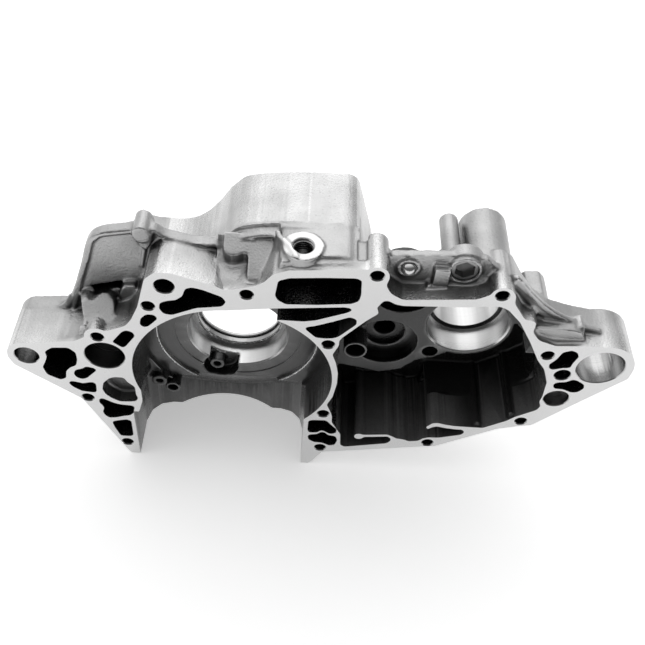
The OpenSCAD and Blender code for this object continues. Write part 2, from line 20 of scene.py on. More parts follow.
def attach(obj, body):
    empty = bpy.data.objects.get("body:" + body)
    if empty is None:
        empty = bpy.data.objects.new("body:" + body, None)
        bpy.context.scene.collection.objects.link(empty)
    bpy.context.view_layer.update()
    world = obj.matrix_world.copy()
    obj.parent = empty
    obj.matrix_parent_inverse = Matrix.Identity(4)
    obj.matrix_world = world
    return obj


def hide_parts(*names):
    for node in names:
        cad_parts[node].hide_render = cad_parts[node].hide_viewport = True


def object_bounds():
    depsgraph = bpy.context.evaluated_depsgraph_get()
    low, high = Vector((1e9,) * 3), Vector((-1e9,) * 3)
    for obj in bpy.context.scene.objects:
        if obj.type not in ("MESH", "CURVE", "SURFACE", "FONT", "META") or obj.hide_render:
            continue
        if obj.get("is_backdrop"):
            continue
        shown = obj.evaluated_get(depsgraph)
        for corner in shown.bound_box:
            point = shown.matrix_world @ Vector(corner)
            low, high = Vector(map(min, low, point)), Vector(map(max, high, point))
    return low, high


started = time.time()


def seconds():
    """How long the script has run."""
    return round(time.time() - started, 1)


def in_mm(box):
    """The corners of a box in metres, rounded, in millimetres."""
    return [[round(value * 1000, 1) for value in corner] for corner in box]


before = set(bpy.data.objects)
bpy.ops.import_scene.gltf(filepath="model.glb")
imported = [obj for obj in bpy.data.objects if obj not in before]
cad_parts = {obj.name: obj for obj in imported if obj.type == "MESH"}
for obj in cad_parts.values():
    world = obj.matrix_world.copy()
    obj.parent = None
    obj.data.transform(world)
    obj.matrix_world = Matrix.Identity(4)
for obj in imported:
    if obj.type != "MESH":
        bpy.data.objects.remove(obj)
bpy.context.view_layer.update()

# %% [markdown]
# ## Camera
#
# The photograph looks down at the half by about 49 degrees and is turned a little. The camera's
# place and axes were found by laying the model's outline over the photograph. They are written
# as a matrix, because three angles would hide the small roll. The focal length came out of the
# same fit in pixels of the photograph, and its share of the width is that of any sensor.

# %% Camera
PHOTO_WIDTH = 645
FOCAL_PIXELS = 870
SENSOR = 36
NEAR, FAR = 0.01, 50
SEEN_FROM = Matrix((
    (0.99753, -0.06448, -0.02794, 0.04982),
    (0.03040, 0.75438, -0.65573, -0.33836),
    (0.06336, 0.65325, 0.75448, 0.54618),
    (0, 0, 0, 1),
))
camera = bpy.data.objects.new("camera", bpy.data.cameras.new("camera"))
camera.data.sensor_width = SENSOR
camera.data.lens = FOCAL_PIXELS / PHOTO_WIDTH * SENSOR
camera.data.clip_start = NEAR
camera.data.clip_end = FAR
camera.matrix_world = SEEN_FROM
bpy.context.scene.collection.objects.link(camera)
bpy.context.scene.camera = camera
bpy.context.scene.view_settings.view_transform = "Standard"
print("lens", round(camera.data.lens, 2), "mm")

# %% [markdown]
# ## Measures
#
# The drawing of this part reads everything from the crank axis, in millimetres: across, depth
# and height. Blender works in metres from the cylinder axis on the deck. One helper turns one
# into the other, so that a bore here has the same numbers as in the drawing.

# %% From the drawing to the scene
MM = 0.001
CRANK = (10, 0, 98)  # where the crank axis meets the joint face, in the model's frame


def spot(across, depth, height):
    """A point of the drawing as a place in the scene."""
    return Vector(((across + CRANK[0]) * MM, (depth + CRANK[1]) * MM, (height + CRANK[2]) * MM))


def link(obj):
    """Puts an object into the scene and hands it back."""
    bpy.context.scene.collection.objects.link(obj)
    return obj


def plain(obj, name):
    """The object with its modifiers, as a plain mesh at the origin."""
    graph = bpy.context.evaluated_depsgraph_get()
    graph.update()
    mesh = bpy.data.meshes.new_from_object(obj.evaluated_get(graph), depsgraph=graph)
    bpy.data.objects.remove(obj)
    mesh.name = name
    return link(bpy.data.objects.new(name, mesh))


# %% [markdown]
# ## Centres and levels
#
# A bore, the metal round it and the finish on its wall share one centre, and the forms of a
# chamber share its floor. Each centre is written once, as (across, height), and each level
# once, as a depth behind the joint face, so nothing drifts apart when one of them is changed.

# %% Centres and levels of the drawing
MAIN = (0, 0)
OUTPUT = (148, 34)
CLUTCH = (103.5, 63)
DRUM = (97.3, 12)
WEB_BOSS = (128, 5.5)
BALANCER = (-80.1, 13.6)
PIVOT = (229.2, 32.5)
FRONT_MOUNT = (-129.7, 8.9)
BREATHER = (-38, 81.2)
DOWEL = (207.7, 23.3)
ROUND_POCKET = (210.3, -1.5)
BALL = (101, 96)
PLUG = (133, 98)
DRAIN = (40, 13.5)  # upright, so across and depth
RECESS_BOLTS = [(82.3, 101.1), (154.7, 91.7)]
BOLTS = [
    (-82.4, 31.8), (-96.8, -32.4), (-75.8, -83.8), (-48.7, 63.4), (9.2, 78.7), *RECESS_BOLTS,
    (193.7, 41.5), (193.7, -29.2), (135.5, -62), (61, -76.3), (60.6, -34.8), (59, 38.5),
]
FRONT_DEPTH = 31
WEB_DEPTH = 27
FLOOR_DEPTH = 57
RIM_DEPTH = 80
DECK_HEIGHT = -98
print("case bolts", len(BOLTS), "and the gear room goes", FLOOR_DEPTH - WEB_DEPTH, "mm below its web")

# %% [markdown]
# ## Shapes to work with
#
# A pattern maker and a machinist both work with few kinds of shape: bodies of revolution, which
# come off a lathe, straight prisms, which come off a saw or a mill, and what is left when one is
# taken out of another. These functions make them, in the drawing's numbers.

# %% Turned shapes
FINE, GOOD, MEDIUM, SMALL, COARSE = 96, 72, 64, 48, 40  # sides of a turned body, by its size


def turned(shell, at, profile, steps=FINE, upright=False):
    """Adds a closed turned body along the depth, or upright; profile holds (radius, position)."""
    rings = []
    for radius, along in profile:
        ring = []
        for i in range(steps):
            turn = 2 * math.pi * i / steps
            if upright:
                place = spot(at[0] + radius * math.cos(turn), at[1] + radius * math.sin(turn), along)
            else:
                place = spot(at[0] + radius * math.cos(turn), along, at[1] + radius * math.sin(turn))
            ring.append(shell.verts.new(place))
        rings.append(ring)
    for low, high in zip(rings, rings[1:]):
        for i in range(steps):
            j = (i + 1) % steps
            shell.faces.new((low[i], low[j], high[j], high[i]))
    shell.faces.new(rings[0][::-1])
    shell.faces.new(rings[-1])


def rod(shell, at, radius, low, high):
    """Adds a plain round rod along the depth."""
    turned(shell, at, [(radius, low), (radius, high)], COARSE)


# %% Straight shapes
MOST_OF_A_SIDE = 0.45
BLOCK_FACES = ((0, 2, 3, 1), (4, 5, 7, 6), (0, 1, 5, 4), (2, 6, 7, 3), (0, 4, 6, 2), (1, 3, 7, 5))


def eased(outline, reach, steps=4):
    """The outline with each corner replaced by a short curve."""
    curve = []
    for before, corner, after in zip(outline[-1:] + outline[:-1], outline, outline[1:] + outline[:1]):
        here = Vector(corner)
        arms = [Vector(other) - here for other in (before, after)]
        first, last = [here + arm.normalized() * min(reach, arm.length * MOST_OF_A_SIDE) for arm in arms]
        for i in range(steps + 1):
            t = i / steps
            curve.append(first * (1 - t) ** 2 + here * 2 * t * (1 - t) + last * t * t)
    return curve


def prism(shell, outline, low, high, way="depth", ease=1.0):
    """Adds a prism; its outline is (across, height), or (depth, height), or (across, depth)."""
    rings = []
    for along in (low, high):
        ring = []
        for a, b in eased(outline, ease):
            place = {"depth": (a, along, b), "across": (along, a, b), "up": (a, b, along)}[way]
            ring.append(shell.verts.new(spot(*place)))
        rings.append(ring)
    for i in range(len(rings[0])):
        j = (i + 1) % len(rings[0])
        shell.faces.new((rings[0][i], rings[0][j], rings[1][j], rings[1][i]))
    shell.faces.new(rings[0][::-1])
    shell.faces.new(rings[1])


def block(shell, low, high):
    """Adds a block between two opposite corners."""
    corners = []
    for i in range(8):
        corner = [high[k] if i >> k & 1 else low[k] for k in range(3)]
        corners.append(shell.verts.new(spot(*corner)))
    for face in BLOCK_FACES:
        shell.faces.new([corners[i] for i in face])


# %% From a drawn shape to a cut
def drawn(draw, name=None):
    """What draw() puts in a mesh, as an object whose faces point outwards."""
    name = name or draw.__name__
    shell = bmesh.new()
    draw(shell)
    bmesh.ops.triangulate(shell, faces=shell.faces)
    bmesh.ops.recalc_face_normals(shell, faces=shell.faces)
    mesh = bpy.data.meshes.new(name)
    shell.to_mesh(mesh)
    shell.free()
    return link(bpy.data.objects.new(name, mesh))


def cut(body, tool, operation="DIFFERENCE"):
    """Takes the tool out of the body, or keeps only what lies in both."""
    boolean = body.modifiers.new(tool.name, "BOOLEAN")
    boolean.operation = operation
    boolean.solver = "MANIFOLD"
    boolean.object = tool
    body = plain(body, body.name.split(".")[0])
    print(tool.name, "leaves", len(body.data.polygons), "faces")
    bpy.data.objects.remove(tool)
    return body


def machined(body, *draws):
    """Takes the drawn tools out of the body, one after the other."""
    for draw in draws:
        body = cut(body, drawn(draw))
    return body


def shared(*draws):
    """What all the drawn shapes have in common."""
    body = drawn(draws[0])
    for draw in draws[1:]:
        body = cut(body, drawn(draw), "INTERSECT")
    return body


def without(waste, kept):
    """The drawn waste, less the drawn shape that has to stay."""
    return cut(drawn(waste), drawn(kept))


# %% [markdown]
# ## Pattern work
#
# The drawing fixes what the part has to do, and leaves some cast forms plain. A pattern maker
# then works the finer ones into the wooden pattern: a lug with a pointed foot on the front
# plate, an angular boss round a bolt, a raised wing in the oil recess, a ridge along the
# flange. First the plain form's metal comes off where the finer one is smaller. An outline is
# enough for each, because the waste is sawn off straight.

# %% Waste over the plate, the shoulder and the flange, and round the lug beside the plug
OLD_LUG = (-54, 98)
PLATE_WASTE = [
    (-20, 91.2), (-16, 90.2), (-8, 91.7), (-2, 94.7), (5, 98.2), (14, 100.7), (26, 102.2), (26, 112),
    (-20, 112),
]
SHOULDER_WASTE = [
    (-47, 60.2), (-37, 60.7), (-28, 63.7), (-20, 70.7), (-14, 79.2), (-9, 88.2), (-4, 95.2), (3, 100.2),
    (13, 102.7), (30, 105.2), (60, 107.4), (60, 115), (-47, 115),
]
FLANGE_WASTE = [(89.3, 104.1), (126, 107.1), (126, 112), (89.3, 112)]
BESIDE_LUG = ((112.5, 8, 86.4), (115.4, 13.9, 101.5))
ABOVE_LUG = ((115.5, 8, 99.6), (124.9, 13.9, 101.5))
BELOW_LUG = ((115.5, 8, 86.4), (124.9, 11.9, 87.9))


def plain_forms(shell):
    """The plain lug, the old edge of the plate, the shoulder and the top of the flange."""
    rod(shell, OLD_LUG, 6.2, 12, 24)
    prism(shell, PLATE_WASTE, 24, 33.8)
    prism(shell, SHOULDER_WASTE, 34, 84, ease=4)
    for low, high in (BESIDE_LUG, ABOVE_LUG, BELOW_LUG):
        block(shell, low, high)
    prism(shell, FLANGE_WASTE, 13.5, 19.2, ease=0.3)


# %% The plain wing in the oil recess, down to the slope of the recess
OLD_WING = [
    (-10.5, 85.4), (-9, 84.8), (-3, 81.3), (3, 83.3), (14, 86.8), (20.4, 91.8), (20.4, 108), (-10.5, 108),
]
OVER_SLOPE = [(1, 81.2), (8, 83.2), (18, 84.7), (25, 89.2), (28, 93.5), (28, 110), (1, 110)]


def old_wing(shell):
    """The wing as the drawing has it, plain and straight."""
    prism(shell, OLD_WING, 1.5, 27.8, ease=0.5)


def over_slope(shell):
    """All that stands above the slope of the recess."""
    prism(shell, OVER_SLOPE, -11, 21, "across", 0.5)


# %% Square metal that becomes round: at the drain, the plug and the output bearing
GEAR_FLOOR = [
    (133, -40), (170, -40), (184, -30), (189, -24.5), (199, -15.5), (200, -6), (198, 8), (192, 20),
    (184, 32), (175, 42), (160, 50), (142, 20), (140, 6), (133.5, 1.5), (120, -5), (112, -14), (120, -30),
]
RING_RADIUS = 29.5


def drain_corners(shell):
    """The square top of the boss round the drain."""
    block(shell, (27, 1, 104.3), (53, 13.5, 110))


def drain_tower(shell):
    """The round part of that boss, which stays."""
    turned(shell, DRAIN, [(11.7, 100), (11.7, 112)], GOOD, True)


def plug_surround(shell):
    """The wide plain disc round the plug."""
    turned(shell, PLUG, [(11.6, 8), (11.6, 13.9)], SMALL)


def plug_boss(shell):
    """The narrower boss, which stays."""
    turned(shell, PLUG, [(9.9, 7), (9.9, 15)], SMALL)


def gear_floor(shell):
    """The metal between the web of the gear room and its floor."""
    prism(shell, GEAR_FLOOR, WEB_DEPTH, FLOOR_DEPTH - 0.1)


def bearing_ring(shell):
    """The wall round the output bearing, which stays and then stands free."""
    rod(shell, OUTPUT, RING_RADIUS, 20, 60)


# %% [markdown]
# ## Forms that the pattern gains
#
# The finer forms are added as metal before the mould is made, so they get the same soft edges
# as the rest. They may overlap each other and the body, because one skin is laid over all of
# them later. A form that is bent in two directions is what two or three sawn prisms share, as
# when a block is sawn along lines marked on its front, its side and its top.

# %% The front plate, with its swelling, its foot and its lug
PLATE = [
    (-124, 14), (-122, 21), (-114, 22), (-108, 28), (-103, 37), (-98, 51), (-93, 66), (-88, 84), (-84, 91),
    (-77, 95), (-58, 99), (-47, 100.5), (-41, 95), (-24, 91), (-16, 90), (-8, 91.5), (-2, 94.5), (5, 98),
    (14, 100.5), (26, 102), (26, 80), (-40, 60), (-60, 20), (-92, 12),
]
SWELLING = [(-70, 50), (-68, 56), (-60, 64), (-54, 62.5), (-46, 60), (-46, 50)]
FOOT = [(-68.5, 54), (-61, 55.5), (-58, 46), (-68, 38.5), (-73, 41), (-71, 47)]
LUG = (-53.5, 96.5)
LUG_POINT = [(-58.5, 98), (-58.5, 92.5), (-55.5, 86.5), (-51.5, 84.5), (-48, 91), (-47, 98)]
LUG_RIB = [(-57, 68), (-55.4, 68), (-50.4, 92), (-53, 92)]


def front_plate(shell):
    """The plate, the swelling behind it, its foot below and its lug on top."""
    prism(shell, PLATE, 28, 34, ease=4)
    prism(shell, SWELLING, FRONT_DEPTH, 79, ease=3)
    prism(shell, FOOT, 23, FRONT_DEPTH, ease=2)
    rod(shell, LUG, 5.5, 24, 40)
    prism(shell, LUG_POINT, 25, FRONT_DEPTH, ease=1.5)
    prism(shell, LUG_RIB, 26, FRONT_DEPTH, ease=0.5)


# %% Bosses of the bolts beside the oil recess, the recess's slope, and the two arms
SLOPE = [(2, 76), (2, 81), (8, 83), (18, 84.5), (25, 89), (31, 97), (31, 76)]
RIDGE = [
    (162, 92), (163.5, 97), (168, 93), (176.3, 83.5), (185, 75), (193.5, 68.5), (203.5, 63), (214, 58.5),
    (225, 54.5), (224, 52), (213, 56), (202.5, 60.3), (192, 65.8), (183.5, 72.3), (174.5, 81),
]
ARM_CORNER = [(-112, 21), (-112, 22.9), (-97, 26.3), (-91, 30.2), (-91, 24), (-97, 21.5)]


def bosses_and_arms(shell):
    """Two round bosses, the slope between them, and what is raised on the two arms."""
    for at, radius in zip(RECESS_BOLTS, (6.8, 6.6)):
        rod(shell, at, radius, -2.5, 32)
    prism(shell, SLOPE, -10, 24, "across")
    prism(shell, RIDGE, 10.4, 14)
    prism(shell, ARM_CORNER, 3, 24, ease=0.5)


# %% The lug and the ledge beside the plug, the top of the sump block, and a pin boss
PLUG_LUG = [(115.5, 88), (115.5, 99.5), (124.8, 99.5), (124.8, 88)]
SUMP_TOP = [(27, 92), (27, 104), (30, 104.8), (60, 107), (66, 106.8), (70, 104.6), (70, 92)]
PIN_BOSS = (178.3, 66)
PLUG_LEDGE = [(115.5, 85), (115.5, 90.5), (150, 90.5), (150, 85)]


def upper_forms(shell):
    """What stands round the plug and on top of the sump block."""
    prism(shell, PLUG_LUG, 9, 15, ease=0.4)
    prism(shell, SUMP_TOP, 7.5, 34)
    rod(shell, PIN_BOSS, 3.2, 3, 19)
    prism(shell, PLUG_LEDGE, 12, 16, ease=0.5)


# %% In the gear room: the boss under the web, the bearing's ring and two ribs on the wall
UNDER_WEB = [(112, -14), (120, -5), (133.5, 1.5), (140, 6), (136, 16), (119, 18)]
WALL_RIBS = [(166.5, -40.3), (187, -26.8)]


def gear_room_forms(shell):
    """What stands between the web and the floor of the gear room."""
    rod(shell, WEB_BOSS, 6.8, WEB_DEPTH, FLOOR_DEPTH)
    prism(shell, UNDER_WEB, WEB_DEPTH, FLOOR_DEPTH)
    rod(shell, OUTPUT, RING_RADIUS, WEB_DEPTH, FLOOR_DEPTH)
    for at in WALL_RIBS:
        rod(shell, at, 1.8, 3, FLOOR_DEPTH)


def cast_details(shell):
    """All the added forms that are plain prisms and rods."""
    front_plate(shell)
    bosses_and_arms(shell)
    upper_forms(shell)
    gear_room_forms(shell)


# %% The raised wing, marked out on its top and its side
WING = [
    (-6, 34), (-6.5, 23), (-5, 19.5), (-2, 18), (2.5, 18.5), (6.5, 20.5), (8.5, 19), (8.8, 7), (10.5, 3.5),
    (14, 2.8), (17, 4.5), (19.5, 10), (20, 34),
]
WING_SIDE = [(2.5, 76), (2.5, 82), (6, 86), (12, 89), (31, 98.5), (31, 76)]


def wing_from_above(shell):
    """The outline of the wing, with its notch."""
    prism(shell, WING, 76, 100, "up", 1.5)


def wing_from_side(shell):
    """The sloping top of the wing."""
    prism(shell, WING_SIDE, -12, 26, "across")


# %% The angular bolt boss, marked out on its front, its side and its top
BOSS_FRONT = [
    (-97, 24), (-97, 41), (-92, 45), (-87.5, 43.5), (-80.5, 47.5), (-74, 44), (-71.5, 36), (-66, 34),
    (-66, 24),
]
BOSS_SIDE = [(0, 24), (1, 35), (5, 37.5), (28, 48.5), (31, 49), (31, 24)]
BOSS_TOP = [(-97, 32), (-96.5, 26), (-90.5, 5), (-88, 1), (-66, 1), (-66, 32)]


def boss_from_front(shell):
    """The peaked front of the boss."""
    prism(shell, BOSS_FRONT, 1, FRONT_DEPTH)


def boss_from_side(shell):
    """The boss rises towards the plate."""
    prism(shell, BOSS_SIDE, -100, -60, "across")


def boss_from_above(shell):
    """The boss widens towards the plate."""
    prism(shell, BOSS_TOP, 22, 60, "up")


# %% The step on the rear arm, marked out on its front and its side
STEP_FRONT = [(180, 40), (183, 58), (185, 60.5), (208, 60), (211, 62), (213, 59), (212, 40)]
STEP_SIDE = [(2, 38), (2, 50), (8, 61), (20, 63), (20, 38)]


def step_from_front(shell):
    """The front of the step."""
    prism(shell, STEP_FRONT, 2, 18)


def step_from_side(shell):
    """The rounded fall of the step."""
    prism(shell, STEP_SIDE, 170, 220, "across")


# %% Saw the forms out
details = [
    drawn(cast_details),
    shared(wing_from_above, wing_from_side),
    shared(boss_from_front, boss_from_side, boss_from_above),
    shared(step_from_front, step_from_side),
]

# %% [markdown]
# ## Beads along a path
#
# A thin raised lip runs round the front plate, and where the two halves of the mould met, a
# little metal crept between them and left a seam along the arm. Both follow a path, so one
# Geometry Nodes tree draws them: a line of points, corners rounded, and a round profile swept
# along it. The joint of a mould is never even, and a slowly varying radius shows that.

# %% How every tree here starts, ends and runs
def tree_with(name, numbers):
    """A node tree with a geometry input, the named numbers, a material and a geometry output."""
    tree = bpy.data.node_groups.new(name, "GeometryNodeTree")
    tree.interface.new_socket("Places", in_out="INPUT", socket_type="NodeSocketGeometry")
    for label, value in numbers:
        socket = tree.interface.new_socket(label, in_out="INPUT", socket_type="NodeSocketFloat")
        socket.default_value = value
    tree.interface.new_socket("Metal", in_out="INPUT", socket_type="NodeSocketMaterial")
    tree.interface.new_socket("Made", in_out="OUTPUT", socket_type="NodeSocketGeometry")
    return tree, tree.nodes.new("NodeGroupInput"), tree.nodes.new("NodeGroupOutput")


def finish_tree(tree, start, end, made):
    """Ends a tree in real, separate meshes that carry their material."""
    real = tree.nodes.new("GeometryNodeRealizeInstances")
    metal = tree.nodes.new("GeometryNodeSetMaterial")
    tree.links.new(made, real.inputs["Geometry"])
    tree.links.new(real.outputs["Geometry"], metal.inputs["Geometry"])
    tree.links.new(start.outputs["Metal"], metal.inputs["Material"])
    tree.links.new(metal.outputs["Geometry"], end.inputs["Made"])


def run_tree(tree, points, values, name, path=False):
    """Runs a tree on points, or on the path through them, and gives a plain mesh object."""
    mesh = bpy.data.meshes.new(name)
    mesh.from_pydata(points, [(i, i + 1) for i in range(len(points) - 1)] if path else [], [])
    holder = link(bpy.data.objects.new(name, mesh))
    nodes_modifier = holder.modifiers.new(name, "NODES")
    nodes_modifier.node_group = tree
    for item in tree.interface.items_tree:
        if item.item_type == "SOCKET" and item.in_out == "INPUT" and item.name in values:
            nodes_modifier[item.identifier] = values[item.name]
    made = plain(holder, name)
    made.data.materials.clear()
    return made


# %% The bead: a path with rounded corners and a radius that wanders a little
CORNER_POINTS = 5
POINT_EVERY = 2 * MM
WANDER_SCALE = 120
BEAD_SIDES = 10
bead, start, end = tree_with("bead", (("Radius", 1 * MM), ("Corner", 5 * MM), ("Uneven", 0.0)))
line = bead.nodes.new("GeometryNodeMeshToCurve")
corner = bead.nodes.new("GeometryNodeFilletCurve")
corner.mode = "POLY"
corner.inputs["Count"].default_value = CORNER_POINTS
corner.inputs["Limit Radius"].default_value = True
bead.links.new(start.outputs["Places"], line.inputs["Mesh"])
bead.links.new(line.outputs["Curve"], corner.inputs["Curve"])
bead.links.new(start.outputs["Corner"], corner.inputs["Radius"])
even = bead.nodes.new("GeometryNodeResampleCurve")
even.mode = "LENGTH"
even.inputs["Length"].default_value = POINT_EVERY
bead.links.new(corner.outputs["Curve"], even.inputs["Curve"])
wander = bead.nodes.new("ShaderNodeTexNoise")
wander.inputs["Scale"].default_value = WANDER_SCALE
size = bead.nodes.new("ShaderNodeMath")
size.operation = "MULTIPLY_ADD"
bead.links.new(wander.outputs["Fac"], size.inputs[0])
bead.links.new(start.outputs["Uneven"], size.inputs[1])
bead.links.new(start.outputs["Radius"], size.inputs[2])
vary_radius = bead.nodes.new("GeometryNodeSetCurveRadius")
bead.links.new(even.outputs["Curve"], vary_radius.inputs["Curve"])
bead.links.new(size.outputs["Value"], vary_radius.inputs["Radius"])
round_profile = bead.nodes.new("GeometryNodeCurvePrimitiveCircle")
round_profile.inputs["Resolution"].default_value = BEAD_SIDES
round_profile.inputs["Radius"].default_value = 1
swept = bead.nodes.new("GeometryNodeCurveToMesh")
swept.inputs["Fill Caps"].default_value = True
for socket in swept.inputs:
    if socket.name == "Scale":
        bead.links.new(size.outputs["Value"], socket)
bead.links.new(vary_radius.outputs["Curve"], swept.inputs["Curve"])
bead.links.new(round_profile.outputs["Curve"], swept.inputs["Profile Curve"])
finish_tree(bead, start, end, swept.outputs["Mesh"])

# %% Sweep the plate's lip and the seam on the arm
LIP = [
    (-121, 28, 19), (-114, 28, 20.8), (-107, 28, 27), (-102, 28, 36.5), (-97, 28, 51), (-92, 28, 66),
    (-87, 28, 83), (-83, 28, 89.8), (-77, 28, 93.6), (-58, 28, 97.6), (-47, 28, 98.8), (-41, 28, 93.6),
    (-24, 28, 89.8), (-16, 28, 88.8), (-8, 28, 90.3), (-2, 28, 93.2), (5, 28, 96.8), (14, 28, 99.2),
    (24, 28, 100.6),
]
SEAM = [
    (-139, 31, 10), (-136.5, 31, 19.6), (-124, 30.6, 21.6), (-115, 29.5, 22.6), (-108, 28.6, 29),
    (-104, 28, 38),
]
LIP_SIZE = {"Radius": 1.2 * MM, "Uneven": 0.3 * MM}
SEAM_SIZE = {"Radius": 0.5 * MM, "Uneven": 1.0 * MM}
details.append(run_tree(bead, [spot(*place) for place in LIP], LIP_SIZE, "lip", True))
details.append(run_tree(bead, [spot(*place) for place in SEAM], SEAM_SIZE, "seam", True))
print("pattern details", {piece.name: len(piece.data.polygons) for piece in details})

# %% [markdown]
# ## The soft casting
#
# The casting could be drawn with thousands of small fillets, but on a shape with so many ribs
# and pockets that takes days. A voxel remesh is quicker: it turns the model into an even skin
# of small squares, and a light smoothing then rounds each outer edge and fills each inner
# corner, as the mould does. The faces that are milled later are pushed out by three
# millimetres first, so that the rounding ends up in the metal that the mill takes away.
#
# The added metal reaches into a few hollows, which are cleared once the first skin has made
# one body of it all. A second skin follows, because thin walls that a cut leaves could open
# when they are smoothed, and every later cut needs a closed body.

# %% Copy the model and add the milling allowance
ALLOWANCE = 3 * MM
DEPTH_AXIS, HEIGHT_AXIS = 1, 2
JOINT, DECK, RIM = 0.0, 0.0, RIM_DEPTH * MM
SAME_CORNER = 0.002 * MM
ON_THE_FACE = 0.01 * MM


def merged_copy(node, name):
    """A copy of a node of the model, with its loose triangles joined at their corners."""
    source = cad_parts[node]
    mesh = source.data.copy()
    mesh.transform(source.matrix_world)
    shell = bmesh.new()
    shell.from_mesh(mesh)
    bmesh.ops.remove_doubles(shell, verts=shell.verts, dist=SAME_CORNER)
    shell.to_mesh(mesh)
    shell.free()
    mesh.materials.clear()
    return link(bpy.data.objects.new(name, mesh))


def push_out(mesh, axis, level, by):
    """Moves all corners that lie on one flat face."""
    places = np.empty(len(mesh.vertices) * 3)
    mesh.vertices.foreach_get("co", places)
    places = places.reshape(-1, 3)
    on_face = np.abs(places[:, axis] - level) < ON_THE_FACE
    places[on_face, axis] += by
    mesh.vertices.foreach_set("co", places.ravel())
    print("pushed out", int(on_face.sum()), "corners along axis", axis)


casting = merged_copy("crankcase", "casting")
push_out(casting.data, DEPTH_AXIS, JOINT, -ALLOWANCE)
push_out(casting.data, HEIGHT_AXIS, DECK, -ALLOWANCE)
push_out(casting.data, DEPTH_AXIS, RIM, ALLOWANCE)

# %% Work the pattern
def joined(body, pieces):
    """The body and the pieces in one mesh, where they may still overlap."""
    shell = bmesh.new()
    shell.from_mesh(body.data)
    for piece in pieces:
        shell.from_mesh(piece.data)
        bpy.data.objects.remove(piece)
    shell.to_mesh(body.data)
    shell.free()
    return body


casting = cut(casting, drawn(plain_forms))
casting = cut(casting, shared(old_wing, over_slope))
casting = cut(casting, without(drain_corners, drain_tower))
casting = cut(casting, without(plug_surround, plug_boss))
casting = cut(casting, without(gear_floor, bearing_ring))
casting = joined(casting, details)

# %% Hollows that the added metal has to leave free
UNDER_PLATE = [(-90, 47.5), (-69, 54), (-71.5, 46), (-80, 46), (-87, 42.5)]
SUMP_EDGE = [(70.5, 7.5), (76.5, 7.5), (76.5, 23.9), (70.5, 23.9)]
SUMP_BACK = [(72, 24), (77, 24), (77, 28.5), (90, 28.5), (90, 50), (72.5, 50)]
FRONT_CORE = [(-73.7, 28), (-67, 38), (-64, 40), (-60, 38.5), (-59, 35), (-66, 24), (-68, 23)]
REAR_CORE = [
    (196.7, 33), (197.5, 29.5), (200, 28), (206, 30.3), (210.5, 31), (211, 36), (212.8, 42), (211, 46),
    (207, 47.8), (202, 45.5), (200, 38.5),
]


def hollows(shell):
    """The gap under the plate, the drop behind the sump block, and two core pockets."""
    prism(shell, UNDER_PLATE, 24, 44)
    prism(shell, SUMP_EDGE, 104, 112, "up", 0.5)
    prism(shell, SUMP_BACK, 97, 112, "up", 0.8)
    prism(shell, FRONT_CORE, -5, 26)
    prism(shell, REAR_CORE, -5, 28)


# %% Lay one skin over it and soften it
VOXEL = 0.7 * MM
SOFTNESS = 0.5
ROUNDS = 3
SKIN_TRIANGLES = 280000


def remeshed(body):
    """The body as one even skin; overlapping metal becomes one piece."""
    skin = body.modifiers.new("skin", "REMESH")
    skin.mode = "VOXEL"
    skin.voxel_size = VOXEL
    return plain(body, "casting")


casting = remeshed(cut(remeshed(casting), drawn(hollows)))
soft = casting.modifiers.new("soft", "SMOOTH")
soft.factor = SOFTNESS
soft.iterations = ROUNDS
casting = plain(casting, "casting")
print("skin", len(casting.data.polygons), "squares after", seconds(), "s")

# %% Thin the skin where it is flat
thin = casting.modifiers.new("thin", "DECIMATE")
thin.ratio = min(1, SKIN_TRIANGLES / (2 * len(casting.data.polygons)))
casting = plain(casting, "casting")
print("thinned to", len(casting.data.polygons), "triangles after", seconds(), "s")

# %% [markdown]
# ## Milling and boring
#
# Each cut is a tool shape: a turned profile for a bore, a block for a flat face. A boolean
# takes it out of the soft casting and leaves a crisp edge, as the machine does. A profile
# lists (radius, depth). Where it has a square shoulder, the depth goes on by a hundredth of a
# millimetre, because two rings of corners in one place would leave faces without an area.

# %% Mill the joint face, the deck and the cover rim
AHEAD, BEHIND = -200, 300
BELOW, ABOVE = -150, 150
OUTSIDE, INSIDE = -20, 120


def joint_mill(shell):
    """All that stands in front of the joint face."""
    block(shell, (AHEAD, OUTSIDE, BELOW), (BEHIND, 0, ABOVE))


def deck_mill(shell):
    """All that stands below the deck."""
    block(shell, (AHEAD, OUTSIDE, BELOW), (BEHIND, INSIDE, DECK_HEIGHT))


def rim_mill(shell):
    """All that stands behind the rim of the cover."""
    block(shell, (AHEAD, RIM_DEPTH, BELOW), (BEHIND, INSIDE, ABOVE))


casting = machined(casting, joint_mill, deck_mill, rim_mill)

# %% Bore the main bearing's seat, the output bearing's and the three shaft holes
CHAMFER = 0.5
THROUGH = 90
MAIN_STEPS = [
    (64, -2), (64, 33), (53, 33.01), (53, 36), (42, 36.01), (42, 36.6), (34, 36.61), (33, 37.6),
    (33, 52), (28.5, 52.01), (28.5, 57), (27, 57.01), (27, THROUGH),
]
OUTPUT_STEPS = [(27, 26.99), (26, 28), (26, 45), (24.5, 45.01), (24.5, 46), (22, 46.01), (22, THROUGH)]


def mouth(radius, depth):
    """The profile of a plain bore with a small chamfer at the joint face."""
    return [(radius + CHAMFER, -2), (radius + CHAMFER, 0), (radius, CHAMFER), (radius, depth)]


def bearing_bores(shell):
    """One turned tool for each bearing seat and each long hole."""
    turned(shell, MAIN, MAIN_STEPS)
    turned(shell, OUTPUT, OUTPUT_STEPS)
    turned(shell, PIVOT, mouth(14.8, 40))
    turned(shell, BALANCER, mouth(12.5, 24))
    turned(shell, FRONT_MOUNT, mouth(7.6, 44))


